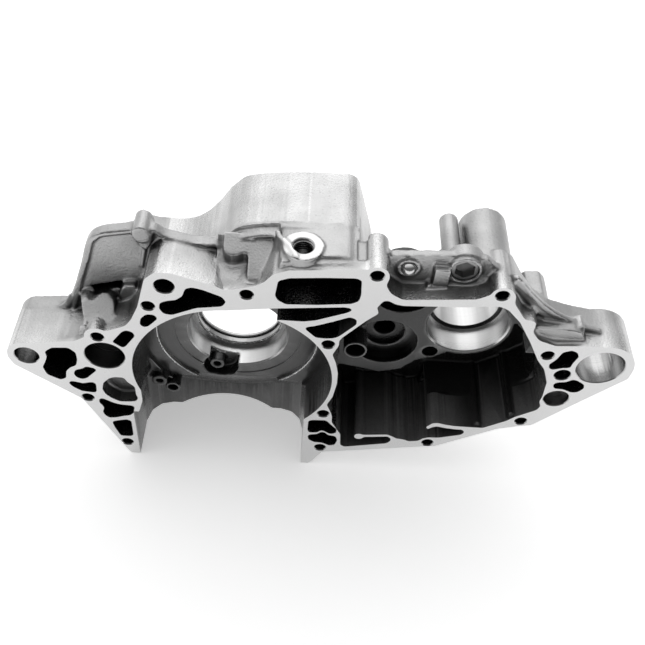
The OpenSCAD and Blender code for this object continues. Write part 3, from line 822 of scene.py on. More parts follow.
# %% Bore the small holes, the seats in the web, and the seats of the ball and the plug
CLUTCH_STEPS = [(21, 26.99), (20.5, 27.5), (20.5, 33), (13, 33.01), (13, 44), (4.2, 44.01), (4.2, 57)]
DRUM_STEPS = [(21.4, 26.99), (21, 27.4), (21, 36), (13, 36.01), (13, 40), (6.7, 40.01), (6.7, 59)]
WEB_BOSS_STEPS = [(5.4, 26.9), (5, 27.4), (5, 32), (2.7, 32.01), (2.7, 43)]
BALL_SEAT = [(4.6, 9), (4.53, 14), (4.53, 18)]
PLUG_SEAT = [(8.5, 8), (8.05, 11.5), (8.05, 18.5)]
DRAIN_STEPS = [(5.6, 80), (5.6, 107), (6.8, 108.01), (6.8, 112)]


def small_bores(shell):
    """One turned tool for each small hole, and for the seats of the ball and the plug."""
    turned(shell, BREATHER, mouth(5.8, 30), COARSE)
    turned(shell, DOWEL, mouth(5, 16), COARSE)
    turned(shell, ROUND_POCKET, mouth(8, 8), SMALL)
    turned(shell, CLUTCH, CLUTCH_STEPS, MEDIUM)
    turned(shell, DRUM, DRUM_STEPS, MEDIUM)
    turned(shell, WEB_BOSS, WEB_BOSS_STEPS, COARSE)
    turned(shell, BALL, BALL_SEAT, COARSE)
    turned(shell, PLUG, PLUG_SEAT, MEDIUM)


def drain_bore(shell):
    """The hole of the drain, with a wide mouth."""
    turned(shell, DRAIN, DRAIN_STEPS, MEDIUM, True)


casting = machined(casting, bearing_bores, small_bores, drain_bore)

# %% [markdown]
# ## Thirteen equal bolt holes
#
# The holes for the case bolts are all drilled with one tool and then countersunk with another.
# They could be typed thirteen times, but the machine has one drill and a list of places, and
# so has a Geometry Nodes tree: it puts a tapered tool on every point that it is given. Used
# once with two equal radii it is the drill, used again with a wide mouth it is the countersink.

# %% A tree that puts a tapered tool on each place
TOOL_SIZES = (("Mouth Radius", 4 * MM), ("End Radius", 4 * MM), ("Length", 10 * MM))
drills, start, end = tree_with("tapered_tools", TOOL_SIZES)
cone = drills.nodes.new("GeometryNodeMeshCone")
cone.inputs["Vertices"].default_value = COARSE
drills.links.new(start.outputs["Mouth Radius"], cone.inputs["Radius Bottom"])
drills.links.new(start.outputs["End Radius"], cone.inputs["Radius Top"])
drills.links.new(start.outputs["Length"], cone.inputs["Depth"])
lay = drills.nodes.new("GeometryNodeTransform")
lay.inputs["Rotation"].default_value = (-math.pi / 2, 0, 0)
drills.links.new(cone.outputs["Mesh"], lay.inputs["Geometry"])
spread = drills.nodes.new("GeometryNodeInstanceOnPoints")
drills.links.new(start.outputs["Places"], spread.inputs["Points"])
drills.links.new(lay.outputs["Geometry"], spread.inputs["Instance"])
finish_tree(drills, start, end, spread.outputs["Instances"])

# %% Drill and countersink
BOLT_RADIUS = 3.8
BOLT_DEPTH = 26
SINK_RADIUS = 5
SINK_DEPTH = 0.6
OVERSHOOT = 2


def tools_at(places, depth, mouth_radius, end_radius, length, name):
    """One tapered tool at each place, starting at the given depth."""
    values = {"Mouth Radius": mouth_radius * MM, "End Radius": end_radius * MM, "Length": length * MM}
    return run_tree(drills, [spot(across, depth, height) for across, height in places], values, name)


drill = tools_at(BOLTS, -OVERSHOOT, BOLT_RADIUS, BOLT_RADIUS, BOLT_DEPTH + OVERSHOOT, "bolt_drill")
casting = cut(casting, drill)
countersink = tools_at(BOLTS, -SINK_DEPTH, SINK_RADIUS, BOLT_RADIUS, 2 * SINK_DEPTH, "countersink")
casting = cut(casting, countersink)
print("drilled after", seconds(), "s")

# %% [markdown]
# ## The thread in the drain
#
# The drain is the one tapped hole that the photograph looks into, and its thread shows as fine
# rings. A thread is a groove that climbs round the hole, so it is swept: a small profile that
# follows a spiral. Geometry Nodes have both, and the tap then cuts it as the booleans above.

# %% A tree that winds a tap
TAP_SIZES = (("Radius", 5.6 * MM), ("Pitch", 1.5 * MM), ("Turns", 5), ("Groove", 0.75 * MM))
TAP_STARTS_AT = 99.2
tap, start, end = tree_with("tap", TAP_SIZES)
climb = tap.nodes.new("ShaderNodeMath")
climb.operation = "MULTIPLY"
tap.links.new(start.outputs["Pitch"], climb.inputs[0])
tap.links.new(start.outputs["Turns"], climb.inputs[1])
spiral = tap.nodes.new("GeometryNodeCurveSpiral")
spiral.inputs["Resolution"].default_value = COARSE
tap.links.new(start.outputs["Turns"], spiral.inputs["Rotations"])
tap.links.new(start.outputs["Radius"], spiral.inputs["Start Radius"])
tap.links.new(start.outputs["Radius"], spiral.inputs["End Radius"])
tap.links.new(climb.outputs["Value"], spiral.inputs["Height"])
profile = tap.nodes.new("GeometryNodeCurvePrimitiveCircle")
profile.inputs["Resolution"].default_value = 4
tap.links.new(start.outputs["Groove"], profile.inputs["Radius"])
sweep = tap.nodes.new("GeometryNodeCurveToMesh")
sweep.inputs["Fill Caps"].default_value = True
tap.links.new(spiral.outputs["Curve"], sweep.inputs["Curve"])
tap.links.new(profile.outputs["Curve"], sweep.inputs["Profile Curve"])
place = tap.nodes.new("GeometryNodeInstanceOnPoints")
tap.links.new(start.outputs["Places"], place.inputs["Points"])
tap.links.new(sweep.outputs["Mesh"], place.inputs["Instance"])
finish_tree(tap, start, end, place.outputs["Instances"])

# %% Tap the drain
casting = cut(casting, run_tree(tap, [spot(*DRAIN, TAP_STARTS_AT)], {}, "drain_thread"))

# %% [markdown]
# ## Which faces are machined
#
# The cuts left flat faces and round walls at known places, so a few tests on each face's
# middle and normal tell milled faces, bored walls and cast skin apart. The outlines of two
# rooms tell the inner skin from the outer one; its dark colour is painted shade, partly also oil.
# Each kind then takes its own material slot. Each turned face also remembers the axis that
# it was turned round, because the tool marks run in rings about it.

# %% Places of the kinds of surface
# The DARK kind's skin is painted shade: holes and grooves drawn darker than their metal.
CAST, MILLED, BRIGHT, INNER, WEB, DARK = range(6)
CRANK_WALL = 64
# The WEB kind's skin is darker too: painted shade of the closed chamber.
# A round wall: its centre, its radius, from depth, to depth, and its kind.
ROUND_WALLS = [
    (MAIN, CRANK_WALL, -1, 33, WEB), (MAIN, 53, 32, 36.2, BRIGHT), (MAIN, 42, 35.8, 36.7, BRIGHT),
    (MAIN, 33.4, 36, 52.5, BRIGHT), (MAIN, 28.5, 52, 57.5, DARK), (MAIN, 27, 50, 90, BRIGHT),
    (OUTPUT, 26.3, 26, 45.5, BRIGHT), (OUTPUT, 22, 45, 90, BRIGHT), (OUTPUT, 24.5, 44.9, 46.1, DARK),
    (PIVOT, 14.8, -1, 40, DARK), (BALANCER, 12.5, -1, 24.5, DARK), (FRONT_MOUNT, 7.6, -1, 45, DARK),
    (BREATHER, 5.8, -1, 31, DARK), (DOWEL, 5, -1, 17, DARK), (ROUND_POCKET, 8, -1, 9, DARK),
    (CLUTCH, 20.5, 26, 34, WEB), (CLUTCH, 13, 32, 45, WEB), (DRUM, 21, 26, 37, WEB),
    (DRUM, 13, 35, 41, WEB), (WEB_BOSS, 5, 26, 33, WEB), (PLUG, 8.2, 8, 19, DARK),
] + [(at, 3.9, -1, 26.5, DARK) for at in BOLTS]
# A flat ring: its centre, its outer radius, its depth and its kind.
FLAT_RINGS = [
    (MAIN, 63.95, 33, WEB), (MAIN, 52.95, 36, WEB), (MAIN, 41.95, 36.6, WEB), (MAIN, 33.1, 52, DARK),
    (OUTPUT, 26, 45, BRIGHT), (CLUTCH, 20.4, 33, WEB), (DRUM, 20.9, 36, WEB), (WEB_BOSS, 5, 32, WEB),
]
GEAR_ROOM = [
    (61, 28), (64, 46), (79, 66), (86, 82), (93, 83), (101, 80), (150, 84.5), (163, 82), (182, 54), (197, 28),
    (203, 0), (204, -14), (190, -29), (172, -44), (158, -58), (134, -61), (113, -70), (76, -77), (70, -50),
    (61, -25), (64, 0),
]
LOWER_ROOM = [(-60, -8), (-63, -47), (-69.5, -60), (-69.5, -99), (49.5, -99), (49.5, -30), (62, -12)]


def inside(x, z, outline):
    """For each point, whether it lies inside the outline: an odd number of edges above it."""
    within = np.zeros(len(x), dtype=bool)
    for (x1, z1), (x2, z2) in zip(outline, outline[1:] + outline[:1]):
        crosses = (x1 > x) != (x2 > x)
        if x1 != x2:
            within ^= crosses & (z < z1 + (x - x1) * (z2 - z1) / (x2 - x1))
    return within


# %% Sort the faces
GEAR_ROOM_DEPTH = 57.5
LOWER_ROOM_DEPTH = 59
CRANK_ROOM_DEPTH = 52
CRANK_ROOM_RADIUS = 65.2
SHADED_WALL_FROM = 30
NEAR_A_WALL = 0.8
NEAR_A_RING = 0.06
ON_A_MILLED_FACE = 0.02
UPRIGHT_ENOUGH = 0.9
FLAT_ENOUGH = 0.98
DRAIN_FACE = 12.2
DRAIN_FACE_FROM = 107.3


def read_faces(mesh, what):
    """Each face's middle or normal, as one row."""
    rows = np.empty(len(mesh.polygons) * 3)
    mesh.polygons.foreach_get(what, rows)
    return rows.reshape(-1, 3)


def sort_faces(mesh):
    """Each face's kind, and the axis that it was turned round."""
    x, y, z = (read_faces(mesh, "center") / MM - np.array(CRANK)).T
    normal = read_faces(mesh, "normal")
    kind = np.full(len(x), CAST, dtype=np.int32)
    axis = np.zeros((len(x), 3), dtype=np.float32)
    axis[:] = spot(0, 0, 0)
    # Faces inside the rooms take the inner skin, whose dark colour is painted shade, partly also oil.
    kind[(y < GEAR_ROOM_DEPTH) & inside(x, z, GEAR_ROOM)] = INNER
    kind[(y < LOWER_ROOM_DEPTH) & inside(x, z, LOWER_ROOM)] = INNER
    kind[(y < CRANK_ROOM_DEPTH) & (np.hypot(x, z) < CRANK_ROOM_RADIUS)] = INNER
    for (across, height), radius, low, high, sort in ROUND_WALLS:
        off_wall = np.abs(np.hypot(x - across, z - height) - radius)
        wall = (off_wall < NEAR_A_WALL) & (y > low) & (y < high) & (np.abs(normal[:, 1]) < UPRIGHT_ENOUGH)
        kind[wall] = sort
        axis[wall] = spot(across, 0, height)
    # The rear side of the crank wall takes the darker inner skin: painted shade on that side.
    off_crank_wall = np.abs(np.hypot(x, z) - CRANK_WALL)
    kind[(kind == WEB) & (x > SHADED_WALL_FROM) & (off_crank_wall < NEAR_A_WALL)] = INNER
    for (across, height), radius, depth, sort in FLAT_RINGS:
        away = np.hypot(x - across, z - height)
        ring = (away < radius) & (np.abs(y - depth) < NEAR_A_RING) & (normal[:, 1] < -FLAT_ENOUGH)
        kind[ring] = sort
        axis[ring] = spot(across, 0, height)
    kind[(y < ON_A_MILLED_FACE) & (normal[:, 1] < -UPRIGHT_ENOUGH)] = MILLED
    kind[(y > RIM_DEPTH - ON_A_MILLED_FACE) & (normal[:, 1] > UPRIGHT_ENOUGH)] = MILLED
    kind[(z < DECK_HEIGHT + ON_A_MILLED_FACE) & (normal[:, 2] < -UPRIGHT_ENOUGH)] = MILLED
    round_drain = np.hypot(x - DRAIN[0], y - DRAIN[1]) < DRAIN_FACE
    kind[round_drain & (z > DRAIN_FACE_FROM) & (normal[:, 2] > UPRIGHT_ENOUGH)] = MILLED
    return kind, axis


kinds, axes = sort_faces(casting.data)
marks = casting.data.attributes.new("turned_round", "FLOAT_VECTOR", "FACE")
marks.data.foreach_set("vector", axes.ravel())
print("faces of each kind", np.bincount(kinds, minlength=6).tolist())

# %% [markdown]
# ## How open each place is
#
# Light barely reaches the bottom of a core pocket, so it lies in shade. Rays sent out from each
# corner of the mesh tell how much of the room it sees. The share is stored as an attribute, and
# the finish paints shade with it: the less a place sees, the darker its colour. It stays with
# the surface when the camera moves.

# %% Rays to send out, and a way to even what they find
RAYS = 20
REACH = 60 * MM
START_OFF = 0.3 * MM


def directions(count):
    """Evenly spread directions on a half sphere around +Z, more of them near its top."""
    golden = math.pi * (3 - math.sqrt(5))
    spread = []
    for i in range(count):
        high = math.sqrt(1 - (i + 0.5) / count)
        flat = math.sqrt(1 - high * high)
        spread.append(Vector((flat * math.cos(golden * i), flat * math.sin(golden * i), high)))
    return spread


def edge_pairs(mesh):
    """The two corners of each edge."""
    pairs = np.empty(len(mesh.edges) * 2, dtype=np.int64)
    mesh.edges.foreach_get("vertices", pairs)
    return pairs.reshape(-1, 2)


def evened(values, edges, rounds):
    """Each corner's value with its neighbours' mixed in."""
    for _ in range(rounds):
        total = values.copy()
        weight = np.ones_like(values)
        np.add.at(total, edges[:, 0], values[edges[:, 1]])
        np.add.at(total, edges[:, 1], values[edges[:, 0]])
        np.add.at(weight, edges[:, 0], 1)
        np.add.at(weight, edges[:, 1], 1)
        values = total / weight
    return values


# %% Measure the openness
def measure_openness(mesh, sorts):
    """The share of rays from each corner that hit nothing; milled faces don't turn the rays."""
    shell = bmesh.new()
    shell.from_mesh(mesh)
    shell.faces.ensure_lookup_table()
    tree = BVHTree.FromBMesh(shell)
    rays = directions(RAYS)
    open_share = np.ones(len(shell.verts), dtype=np.float32)
    for index, corner in enumerate(shell.verts):
        normal = Vector((0, 0, 0))
        for face in corner.link_faces:
            if sorts[face.index] != MILLED:
                normal += face.normal * face.calc_area()
        if normal.length == 0:
            continue
        normal.normalize()
        turn = normal.to_track_quat("Z", "Y")
        begin = corner.co + normal * START_OFF
        free = sum(tree.ray_cast(begin, turn @ way, REACH)[0] is None for way in rays)
        open_share[index] = free / RAYS
    shell.free()
    return open_share


OPENNESS_ROUNDS = 2
pairs = edge_pairs(casting.data)
open_share = evened(measure_openness(casting.data, kinds), pairs, OPENNESS_ROUNDS)
casting.data.attributes.new("openness", "FLOAT", "POINT").data.foreach_set("value", open_share)
print("openness", np.percentile(open_share, [5, 25, 50, 75, 95]).round(2).tolist(), "after", seconds(), "s")

# %% [markdown]
# ## Where edges get a painted highlight
#
# Castings are tumbled with small stones after they leave the mould, which makes what stands out
# a little smoother. Edges also get a painted highlight in their colour, and grooves painted shade.
# A corner of the mesh stands out where its neighbours, on average, lie below it.

# %% Measure how far each corner stands out
FLAT_IS = 0.5
STEEPNESS = 1.6
CREST_ROUNDS = 3
TINY = 1e-9


def measure_crest(mesh, pairs):
    """Above a half where a corner stands out, below it where the corner lies in a groove."""
    count = len(mesh.vertices)
    places = np.empty(count * 3)
    normals = np.empty(count * 3)
    mesh.vertices.foreach_get("co", places)
    mesh.vertex_normals.foreach_get("vector", normals)
    places = places.reshape(-1, 3)
    normals = normals.reshape(-1, 3)
    below = np.zeros(count)
    length = np.zeros(count)
    for here, there in ((pairs[:, 0], pairs[:, 1]), (pairs[:, 1], pairs[:, 0])):
        step = places[there] - places[here]
        np.add.at(below, here, -(step * normals[here]).sum(axis=1))
        np.add.at(length, here, np.linalg.norm(step, axis=1))
    return np.clip(FLAT_IS + STEEPNESS * below / np.maximum(length, TINY), 0, 1).astype(np.float32)


crest = evened(measure_crest(casting.data, pairs), pairs, CREST_ROUNDS)
casting.data.attributes.new("crest", "FLOAT", "POINT").data.foreach_set("value", crest)
print("crest", np.percentile(crest, [2, 25, 50, 75, 98]).round(2).tolist())

# %% [markdown]
# ## Finishes
#
# All finishes are the same bare aluminium. Only the skin differs: grainy and matt as cast,
# fine lines where a mill ran, rings where a boring bar turned. Painted shade darkens closed-in
# places and grooves, and a painted highlight lightens edges. Three effects are shared, so each is
# a node group that is built once and set in every material with its own values: the grain, the
# tool marks, and the painted shade and highlight from the attributes.

# %% Helpers for node groups
def effect(name, numbers, results):
    """An empty shader node group with named number inputs and outputs."""
    group = bpy.data.node_groups.new(name, "ShaderNodeTree")
    for label, value in numbers:
        socket = group.interface.new_socket(label, in_out="INPUT", socket_type="NodeSocketFloat")
        socket.default_value = value
    for label in results:
        group.interface.new_socket(label, in_out="OUTPUT", socket_type="NodeSocketFloat")
    return group, group.nodes.new("NodeGroupInput"), group.nodes.new("NodeGroupOutput")


def set_or_link(tree, socket, value):
    """Sets a socket to a number, or links another node's output to it."""
    if isinstance(value, (int, float)):
        socket.default_value = value
    else:
        tree.links.new(value, socket)


def maths(tree, operation, first, second=None, third=None, clamp=False):
    """A math node's result; each of its inputs is a number or another node's output."""
    node = tree.nodes.new("ShaderNodeMath")
    node.operation = operation
    node.use_clamp = clamp
    for socket, value in zip(node.inputs, (first, second, third)):
        if value is not None:
            set_or_link(tree, socket, value)
    return node.outputs[0]


def about_one(tree, pattern, strength):
    """A pattern between 0 and 1 as a factor that swings round 1."""
    return maths(tree, "MULTIPLY_ADD", maths(tree, "SUBTRACT", pattern, 0.5), strength, 1)


def noise(tree, vector, scale, detail):
    """Noise at the given place, scale and detail."""
    node = tree.nodes.new("ShaderNodeTexNoise")
    node.inputs["Detail"].default_value = detail
    tree.links.new(vector, node.inputs["Vector"])
    set_or_link(tree, node.inputs["Scale"], scale)
    return node.outputs["Fac"]


# %% Effect one: the grain of a sand or die cast skin
CLOUD_SCALE = 40
PIT_TO_GRAIN = 0.55
PIT_SIZE = (0.08, 0.3)
PIT_FIELDS = 300
PIT_FIELDS_FROM = 0.54


def build_grain():
    """Fine grain, small pits that stand in loose fields, and wide pale and dark clouds."""
    group, start, end = effect("cast_grain", (("Scale", 800),), ("Grain", "Pits", "Clouds"))
    where = group.nodes.new("ShaderNodeTexCoord").outputs["Object"]
    fine = noise(group, where, start.outputs["Scale"], 3)
    clouds = noise(group, where, CLOUD_SCALE, 4)
    cells = group.nodes.new("ShaderNodeTexVoronoi")
    group.links.new(where, cells.inputs["Vector"])
    group.links.new(maths(group, "MULTIPLY", start.outputs["Scale"], PIT_TO_GRAIN), cells.inputs["Scale"])
    pit = group.nodes.new("ShaderNodeMapRange")
    pit.inputs["From Min"].default_value, pit.inputs["From Max"].default_value = PIT_SIZE
    pit.inputs["To Min"].default_value = 1
    pit.inputs["To Max"].default_value = 0
    group.links.new(cells.outputs["Distance"], pit.inputs["Value"])
    fields = maths(group, "GREATER_THAN", noise(group, where, PIT_FIELDS, 1), PIT_FIELDS_FROM)
    group.links.new(fine, end.inputs["Grain"])
    group.links.new(maths(group, "MULTIPLY", pit.outputs["Result"], fields), end.inputs["Pits"])
    group.links.new(clouds, end.inputs["Clouds"])
    return group


cast_grain = build_grain()
print(cast_grain.name, "has", len(cast_grain.nodes), "nodes")


# %% Effect two: rings that a turning tool leaves
def build_tool_marks():
    """Noise that depends only on the distance from the turned axis and on the depth."""
    group, start, end = effect("tool_marks", (("Rings per Metre", 1500),), ("Lines",))
    where = group.nodes.new("ShaderNodeTexCoord").outputs["Object"]
    centre = group.nodes.new("ShaderNodeAttribute")
    centre.attribute_name = "turned_round"
    away = group.nodes.new("ShaderNodeVectorMath")
    away.operation = "SUBTRACT"
    group.links.new(where, away.inputs[0])
    group.links.new(centre.outputs["Vector"], away.inputs[1])
    parts = group.nodes.new("ShaderNodeSeparateXYZ")
    group.links.new(away.outputs["Vector"], parts.inputs["Vector"])
    x_squared = maths(group, "MULTIPLY", parts.outputs["X"], parts.outputs["X"])
    both = maths(group, "MULTIPLY_ADD", parts.outputs["Z"], parts.outputs["Z"], x_squared)
    ring = group.nodes.new("ShaderNodeCombineXYZ")
    group.links.new(maths(group, "SQRT", both), ring.inputs["X"])
    group.links.new(parts.outputs["Y"], ring.inputs["Y"])
    lines = noise(group, ring.outputs["Vector"], start.outputs["Rings per Metre"], 2)
    group.links.new(lines, end.inputs["Lines"])
    return group


tool_marks = build_tool_marks()
print(tool_marks.name, "has", len(tool_marks.nodes), "nodes")


# %% Effect three: painted shade where closed in and in grooves, painted highlight on edges
TONE_INPUTS = (("Dark", 0.05), ("Light", 0.5), ("Closed At", 0.05), ("Open At", 0.75), ("Edge Highlight", 0.5))
TONE_SOCKETS = (("Closed At", "From Min"), ("Open At", "From Max"), ("Dark", "To Min"), ("Light", "To Max"))
EDGE_FROM, EDGE_RISE = 0.56, 4
GROOVE_FROM, GROOVE_RISE = 0.46, 3
GROOVE_SHADE = 0.45


def build_tone():
    """Painted shade from dark to light with the openness, a painted highlight on edges, painted shade in
    grooves.
    """
    group, start, end = effect("shade_and_highlight", TONE_INPUTS, ("Tone", "Rubbed"))
    openness = group.nodes.new("ShaderNodeAttribute")
    openness.attribute_name = "openness"
    crest_node = group.nodes.new("ShaderNodeAttribute")
    crest_node.attribute_name = "crest"
    crest_value = crest_node.outputs["Fac"]
    # Painted shade: the colour runs from Dark where closed in to Light where open.
    tone = group.nodes.new("ShaderNodeMapRange")
    tone.interpolation_type = "SMOOTHSTEP"
    for label, socket in TONE_SOCKETS:
        group.links.new(start.outputs[label], tone.inputs[socket])
    group.links.new(openness.outputs["Fac"], tone.inputs["Value"])
    # Painted highlight on edges that stand out; the same mask also lowers the roughness there.
    above = maths(group, "SUBTRACT", crest_value, EDGE_FROM, clamp=True)
    highlight_and_polish = maths(group, "MULTIPLY", above, EDGE_RISE, clamp=True)
    # Painted shade in grooves.
    below = maths(group, "SUBTRACT", GROOVE_FROM, crest_value, clamp=True)
    groove = maths(group, "MULTIPLY", below, GROOVE_RISE, clamp=True)
    gain = maths(group, "MULTIPLY_ADD", highlight_and_polish, start.outputs["Edge Highlight"], 1)
    factor = maths(group, "SUBTRACT", gain, maths(group, "MULTIPLY", groove, GROOVE_SHADE))
    group.links.new(maths(group, "MULTIPLY", tone.outputs["Result"], factor, clamp=True), end.inputs["Tone"])
    group.links.new(highlight_and_polish, end.inputs["Rubbed"])
    return group


shade_and_highlight = build_tone()
print(shade_and_highlight.name, "has", len(shade_and_highlight.nodes), "nodes")


# %% [markdown]
# ## From effects to aluminium
#
# A material is then short: the tone gives the colour, the grain or the tool marks vary it a
# little, and the same pattern drives the roughness and the bump, so that what looks like a
# scratch also shines like one. The metal itself stays in the Principled shader.

# %% Aluminium
PIT_LOSS = 0.22
CLOUD_SWING = 0.8
DULL_SWING, DULL_BASE = 0.5, 0.75
RUBBED_SHINE = 0.3


def place_group(made, group, values):
    """Puts a shared effect into a material with its own values."""
    node = made.node_tree.nodes.new("ShaderNodeGroup")
    node.node_tree = group
    for label, value in values.items():
        node.inputs[label].default_value = value
    return node


def new_metal(name, metallic=1.0):
    """A new material, its node tree and its shader."""
    made = bpy.data.materials.new(name)
    made.use_nodes = True
    shader = made.node_tree.nodes["Principled BSDF"]
    shader.inputs["Metallic"].default_value = metallic
    return made, made.node_tree, shader


def aluminium(name, dark, light, closed_at, open_at, rub, rough, bump, spread, grain=0, rings=0, metal=1.0):
    """Bare metal with painted shade and highlight from its place, and either cast grain or turned rings."""
    made, tree, shader = new_metal(name, metal)
    values = {"Dark": dark, "Light": light, "Closed At": closed_at, "Open At": open_at, "Edge Highlight": rub}
    tone = place_group(made, shade_and_highlight, values)
    if grain:
        marks = place_group(made, cast_grain, {"Scale": grain})
        pattern = marks.outputs["Grain"]
        speckle = maths(tree, "MULTIPLY_ADD", marks.outputs["Pits"], -PIT_LOSS, 1)
        speckle = maths(tree, "MULTIPLY", speckle, about_one(tree, marks.outputs["Clouds"], CLOUD_SWING))
    else:
        marks = place_group(made, tool_marks, {"Rings per Metre": rings})
        pattern = marks.outputs["Lines"]
        speckle = 1
    varied = maths(tree, "MULTIPLY", tone.outputs["Tone"], about_one(tree, pattern, 2 * spread))
    tree.links.new(maths(tree, "MULTIPLY", varied, speckle, clamp=True), shader.inputs["Base Color"])
    dull = maths(tree, "MULTIPLY_ADD", pattern, rough * DULL_SWING, rough * DULL_BASE)
    roughness = maths(tree, "MULTIPLY_ADD", tone.outputs["Rubbed"], -rough * RUBBED_SHINE, dull)
    tree.links.new(roughness, shader.inputs["Roughness"])
    bumps = tree.nodes.new("ShaderNodeBump")
    bumps.inputs["Distance"].default_value = bump * MM
    tree.links.new(pattern, bumps.inputs["Height"])
    tree.links.new(bumps.outputs["Normal"], shader.inputs["Normal"])
    return made


# %% Six skins of the same metal
# Each skin's Dark and Light tones, spread over the openness, are painted shade, and its edge value lightens
# edges: a painted highlight.
cast_skin = aluminium("cast_skin", dark=0.02, light=0.4, closed_at=0.05, open_at=0.8, rub=0.4,
                      rough=0.36, bump=0.25, spread=0.14, grain=800)
milled_face = aluminium("milled_face", dark=0.62, light=0.62, closed_at=0, open_at=1, rub=0,
                        rough=0.3, bump=0.01, spread=0.04, rings=700)
bright_bore = aluminium("bright_bore", dark=0.08, light=0.55, closed_at=0, open_at=0.45, rub=0.3,
                        rough=0.32, bump=0.02, spread=0.12, rings=1800)
# The inner skin's low colour is painted shade inside the rooms, partly also oil; its strong edge value paints
# highlights on the edges.
inner_skin = aluminium("inner_skin", dark=0.006, light=0.055, closed_at=0.05, open_at=0.9, rub=3.5,
                       rough=0.24, bump=0.2, spread=0.2, grain=700, metal=0.3)
# The turned web's low colour is painted shade of the closed chamber.
turned_web = aluminium("turned_web", dark=0.02, light=0.11, closed_at=0.05, open_at=0.8, rub=1.2,
                       rough=0.3, bump=0.05, spread=0.15, rings=900)
# This bore skin's low colour is painted shade inside holes and grooves.
shaded_bore = aluminium("shaded_bore", dark=0.1, light=0.35, closed_at=0, open_at=0.5, rub=0.3,
                      rough=0.25, bump=0.03, spread=0.2, rings=1500)
skins = {
    CAST: cast_skin, MILLED: milled_face, BRIGHT: bright_bore,
    INNER: inner_skin, WEB: turned_web, DARK: shaded_bore,
}
print("skins", [skin.name for skin in skins.values()])

# %% Give each face its skin, and the casting its place in the model
SHARP_CASTING = math.radians(38)
casting.data.materials.clear()
for kind in sorted(skins):
    casting.data.materials.append(skins[kind])
casting.data.polygons.foreach_set("material_index", kinds)
casting.data.shade_smooth()
casting.data.set_sharp_from_angle(angle=SHARP_CASTING)
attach(casting, "root")
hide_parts("crankcase")
print("casting", len(casting.data.polygons), "faces")

# %% [markdown]
# ## Ball and plug
#
# A steel ball is pressed into the first oil hole and a screwed plug closes the second. Both are
# turned parts from the shelf, so they are made as turned bodies. The plug's hexagon socket is
# cut last, as it is on the real plug.

# %% Steel for the ball and the plug
STEEL_SWING, STEEL_BASE = 0.4, 0.8
STEEL_DULL_SWING, STEEL_DULL_BASE = 0.6, 0.7


def steel(name, colour, rough, grain):
    """Steel with faint clouds in its colour and grain in its shine."""
    made, tree, shader = new_metal(name)
    marks = place_group(made, cast_grain, {"Scale": grain})
    vary = maths(tree, "MULTIPLY_ADD", marks.outputs["Clouds"], STEEL_SWING, STEEL_BASE)
    tree.links.new(maths(tree, "MULTIPLY", vary, colour, clamp=True), shader.inputs["Base Color"])
    swing = rough * STEEL_DULL_SWING
    base = rough * STEEL_DULL_BASE
    roughness = maths(tree, "MULTIPLY_ADD", marks.outputs["Grain"], swing, base)
    tree.links.new(roughness, shader.inputs["Roughness"])
    return made


ball_steel = steel("ball_steel", colour=0.62, rough=0.16, grain=500)
plug_steel = steel("plug_steel", colour=0.3, rough=0.34, grain=900)

# %% Turn the ball and the plug
BALL_RADIUS = 4.5
BALL_DEPTH = 13
BALL_RINGS = 24
PLUG_STEPS = [(7.1, 12.5), (7.6, 12.6), (8, 13.1), (8, 18), (7.6, 18.5)]
SOCKET_STEPS = [(6.4, 12), (6.4, 17.2), (2, 18)]
SHARP_STEEL = math.radians(35)


def steel_ball(shell):
    """A ball, as rings from pole to pole."""
    arc = []
    for i in range(1, BALL_RINGS):
        turn = math.pi * i / BALL_RINGS
        arc.append((BALL_RADIUS * math.sin(turn), BALL_DEPTH - BALL_RADIUS * math.cos(turn)))
    turned(shell, BALL, arc, SMALL)


def screwed_plug(shell):
    """A short round plug with eased ends."""
    turned(shell, PLUG, PLUG_STEPS, GOOD)


def socket_key(shell):
    """A six-sided key with a blunt point, as large as the socket."""
    turned(shell, PLUG, SOCKET_STEPS, 6)


def turned_about(obj, at, angle):
    """Turns the object's mesh about an axis along the depth."""
    centre = spot(at[0], 0, at[1])
    turn = Matrix.Rotation(angle, 4, "Y")
    obj.data.transform(Matrix.Translation(centre) @ turn @ Matrix.Translation(-centre))
    return obj


ball = drawn(steel_ball, "ball")
plug = drawn(screwed_plug, "plug")
plug = cut(plug, turned_about(drawn(socket_key), PLUG, math.pi / 6))

# %% Finish the ball and the plug
for piece, node, metal in ((ball, "gallery_ball", ball_steel), (plug, "gallery_plug", plug_steel)):
    piece.data.materials.clear()
    piece.data.materials.append(metal)
    piece.data.shade_smooth()
    piece.data.set_sharp_from_angle(angle=SHARP_STEEL)
    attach(piece, "root")
    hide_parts(node)
    print(piece.name, len(piece.data.polygons), "faces")

# %% [markdown]
# ## Floor and light
#
# Metal shows what is around it, so the room matters more than the lamps: a white floor in front
# gives the joint face its white, a bright region behind and above gives the top its sheen, and
# the darker sides give the edges their contrast. The floor glows a little for the camera and
# for reflections, so that it stays white behind the part, but its own lit share is large
# enough to keep the soft shadow.

# %% Floor
FLOOR_REACH = 12
WHITE = (1, 1, 1, 1)
FLOOR_GLOW = 0.4
floor_corners = [(x * FLOOR_REACH, y * FLOOR_REACH, 0) for x, y in ((-1, -1), (1, -1), (1, 1), (-1, 1))]
floor_mesh = bpy.data.meshes.new("floor")
floor_mesh.from_pydata(floor_corners, [], [(0, 1, 2, 3)])
floor = link(bpy.data.objects.new("floor", floor_mesh))
floor_mat = bpy.data.materials.new("floor")
floor_mat.use_nodes = True
room = floor_mat.node_tree
matt = room.nodes["Principled BSDF"]
matt.inputs["Base Color"].default_value = WHITE
matt.inputs["Roughness"].default_value = 0.9
matt.inputs["Specular IOR Level"].default_value = 0.0
glow = room.nodes.new("ShaderNodeEmission")
path = room.nodes.new("ShaderNodeLightPath")
seen = maths(room, "MAXIMUM", path.outputs["Is Camera Ray"], path.outputs["Is Glossy Ray"])
seen = maths(room, "MAXIMUM", seen, path.outputs["Is Transmission Ray"])
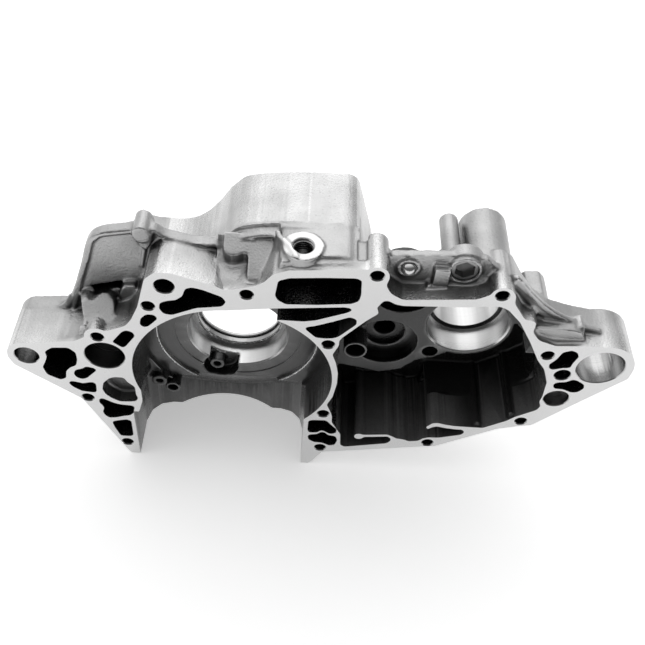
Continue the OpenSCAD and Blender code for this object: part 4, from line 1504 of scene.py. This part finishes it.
room.links.new(maths(room, "MULTIPLY", seen, FLOOR_GLOW), glow.inputs["Strength"])
both_lights = room.nodes.new("ShaderNodeAddShader")
room.links.new(matt.outputs["BSDF"], both_lights.inputs[0])
room.links.new(glow.outputs["Emission"], both_lights.inputs[1])
room.links.new(both_lights.outputs["Shader"], room.nodes["Material Output"].inputs["Surface"])
floor_mesh.materials.append(floor_mat)
floor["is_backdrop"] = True
print("floor", 2 * FLOOR_REACH, "m wide")

# %% World
BRIGHT_SIDE = Vector((-0.15, 0.62, 0.77)).normalized()
DOME = {"From Min": 0.1, "From Max": 0.95, "To Min": 0.15, "To Max": 1.3}
world = bpy.data.worlds.new("room")
bpy.context.scene.world = world
world.use_nodes = True
air = world.node_tree
sky = air.nodes["Background"]
sky.inputs["Color"].default_value = WHITE
ways = air.nodes.new("ShaderNodeTexCoord")
facing = air.nodes.new("ShaderNodeVectorMath")
facing.operation = "DOT_PRODUCT"
facing.inputs[1].default_value = BRIGHT_SIDE
dome = air.nodes.new("ShaderNodeMapRange")
for label, value in DOME.items():
    dome.inputs[label].default_value = value
air.links.new(ways.outputs["Generated"], facing.inputs[0])
air.links.new(facing.outputs["Value"], dome.inputs["Value"])
air.links.new(dome.outputs["Result"], sky.inputs["Strength"])
print("dome from", DOME["To Min"], "to", DOME["To Max"])


# %% Lamps
AIM = (0.05, 0.04, 0.1)


def lamp(name, place, size, power):
    """A rectangular soft lamp that looks at the middle of the part."""
    made = bpy.data.lights.new(name, "AREA")
    made.shape = "RECTANGLE"
    made.size, made.size_y = size
    made.energy = power
    lamp_object = link(bpy.data.objects.new(name, made))
    lamp_object.location = place
    lamp_object.rotation_euler = (Vector(AIM) - Vector(place)).to_track_quat("-Z", "Y").to_euler()
    print("lamp", name, power, "W")


lamp("top", place=(0.05, 0.85, 1.0), size=(0.9, 0.5), power=1.0)
lamp("left", place=(-0.9, -0.1, 0.6), size=(0.5, 0.7), power=0.6)

# %% Finish
view_box = [list(corner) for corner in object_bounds()]
print("visual box in mm", in_mm(view_box), "made in", seconds(), "s")
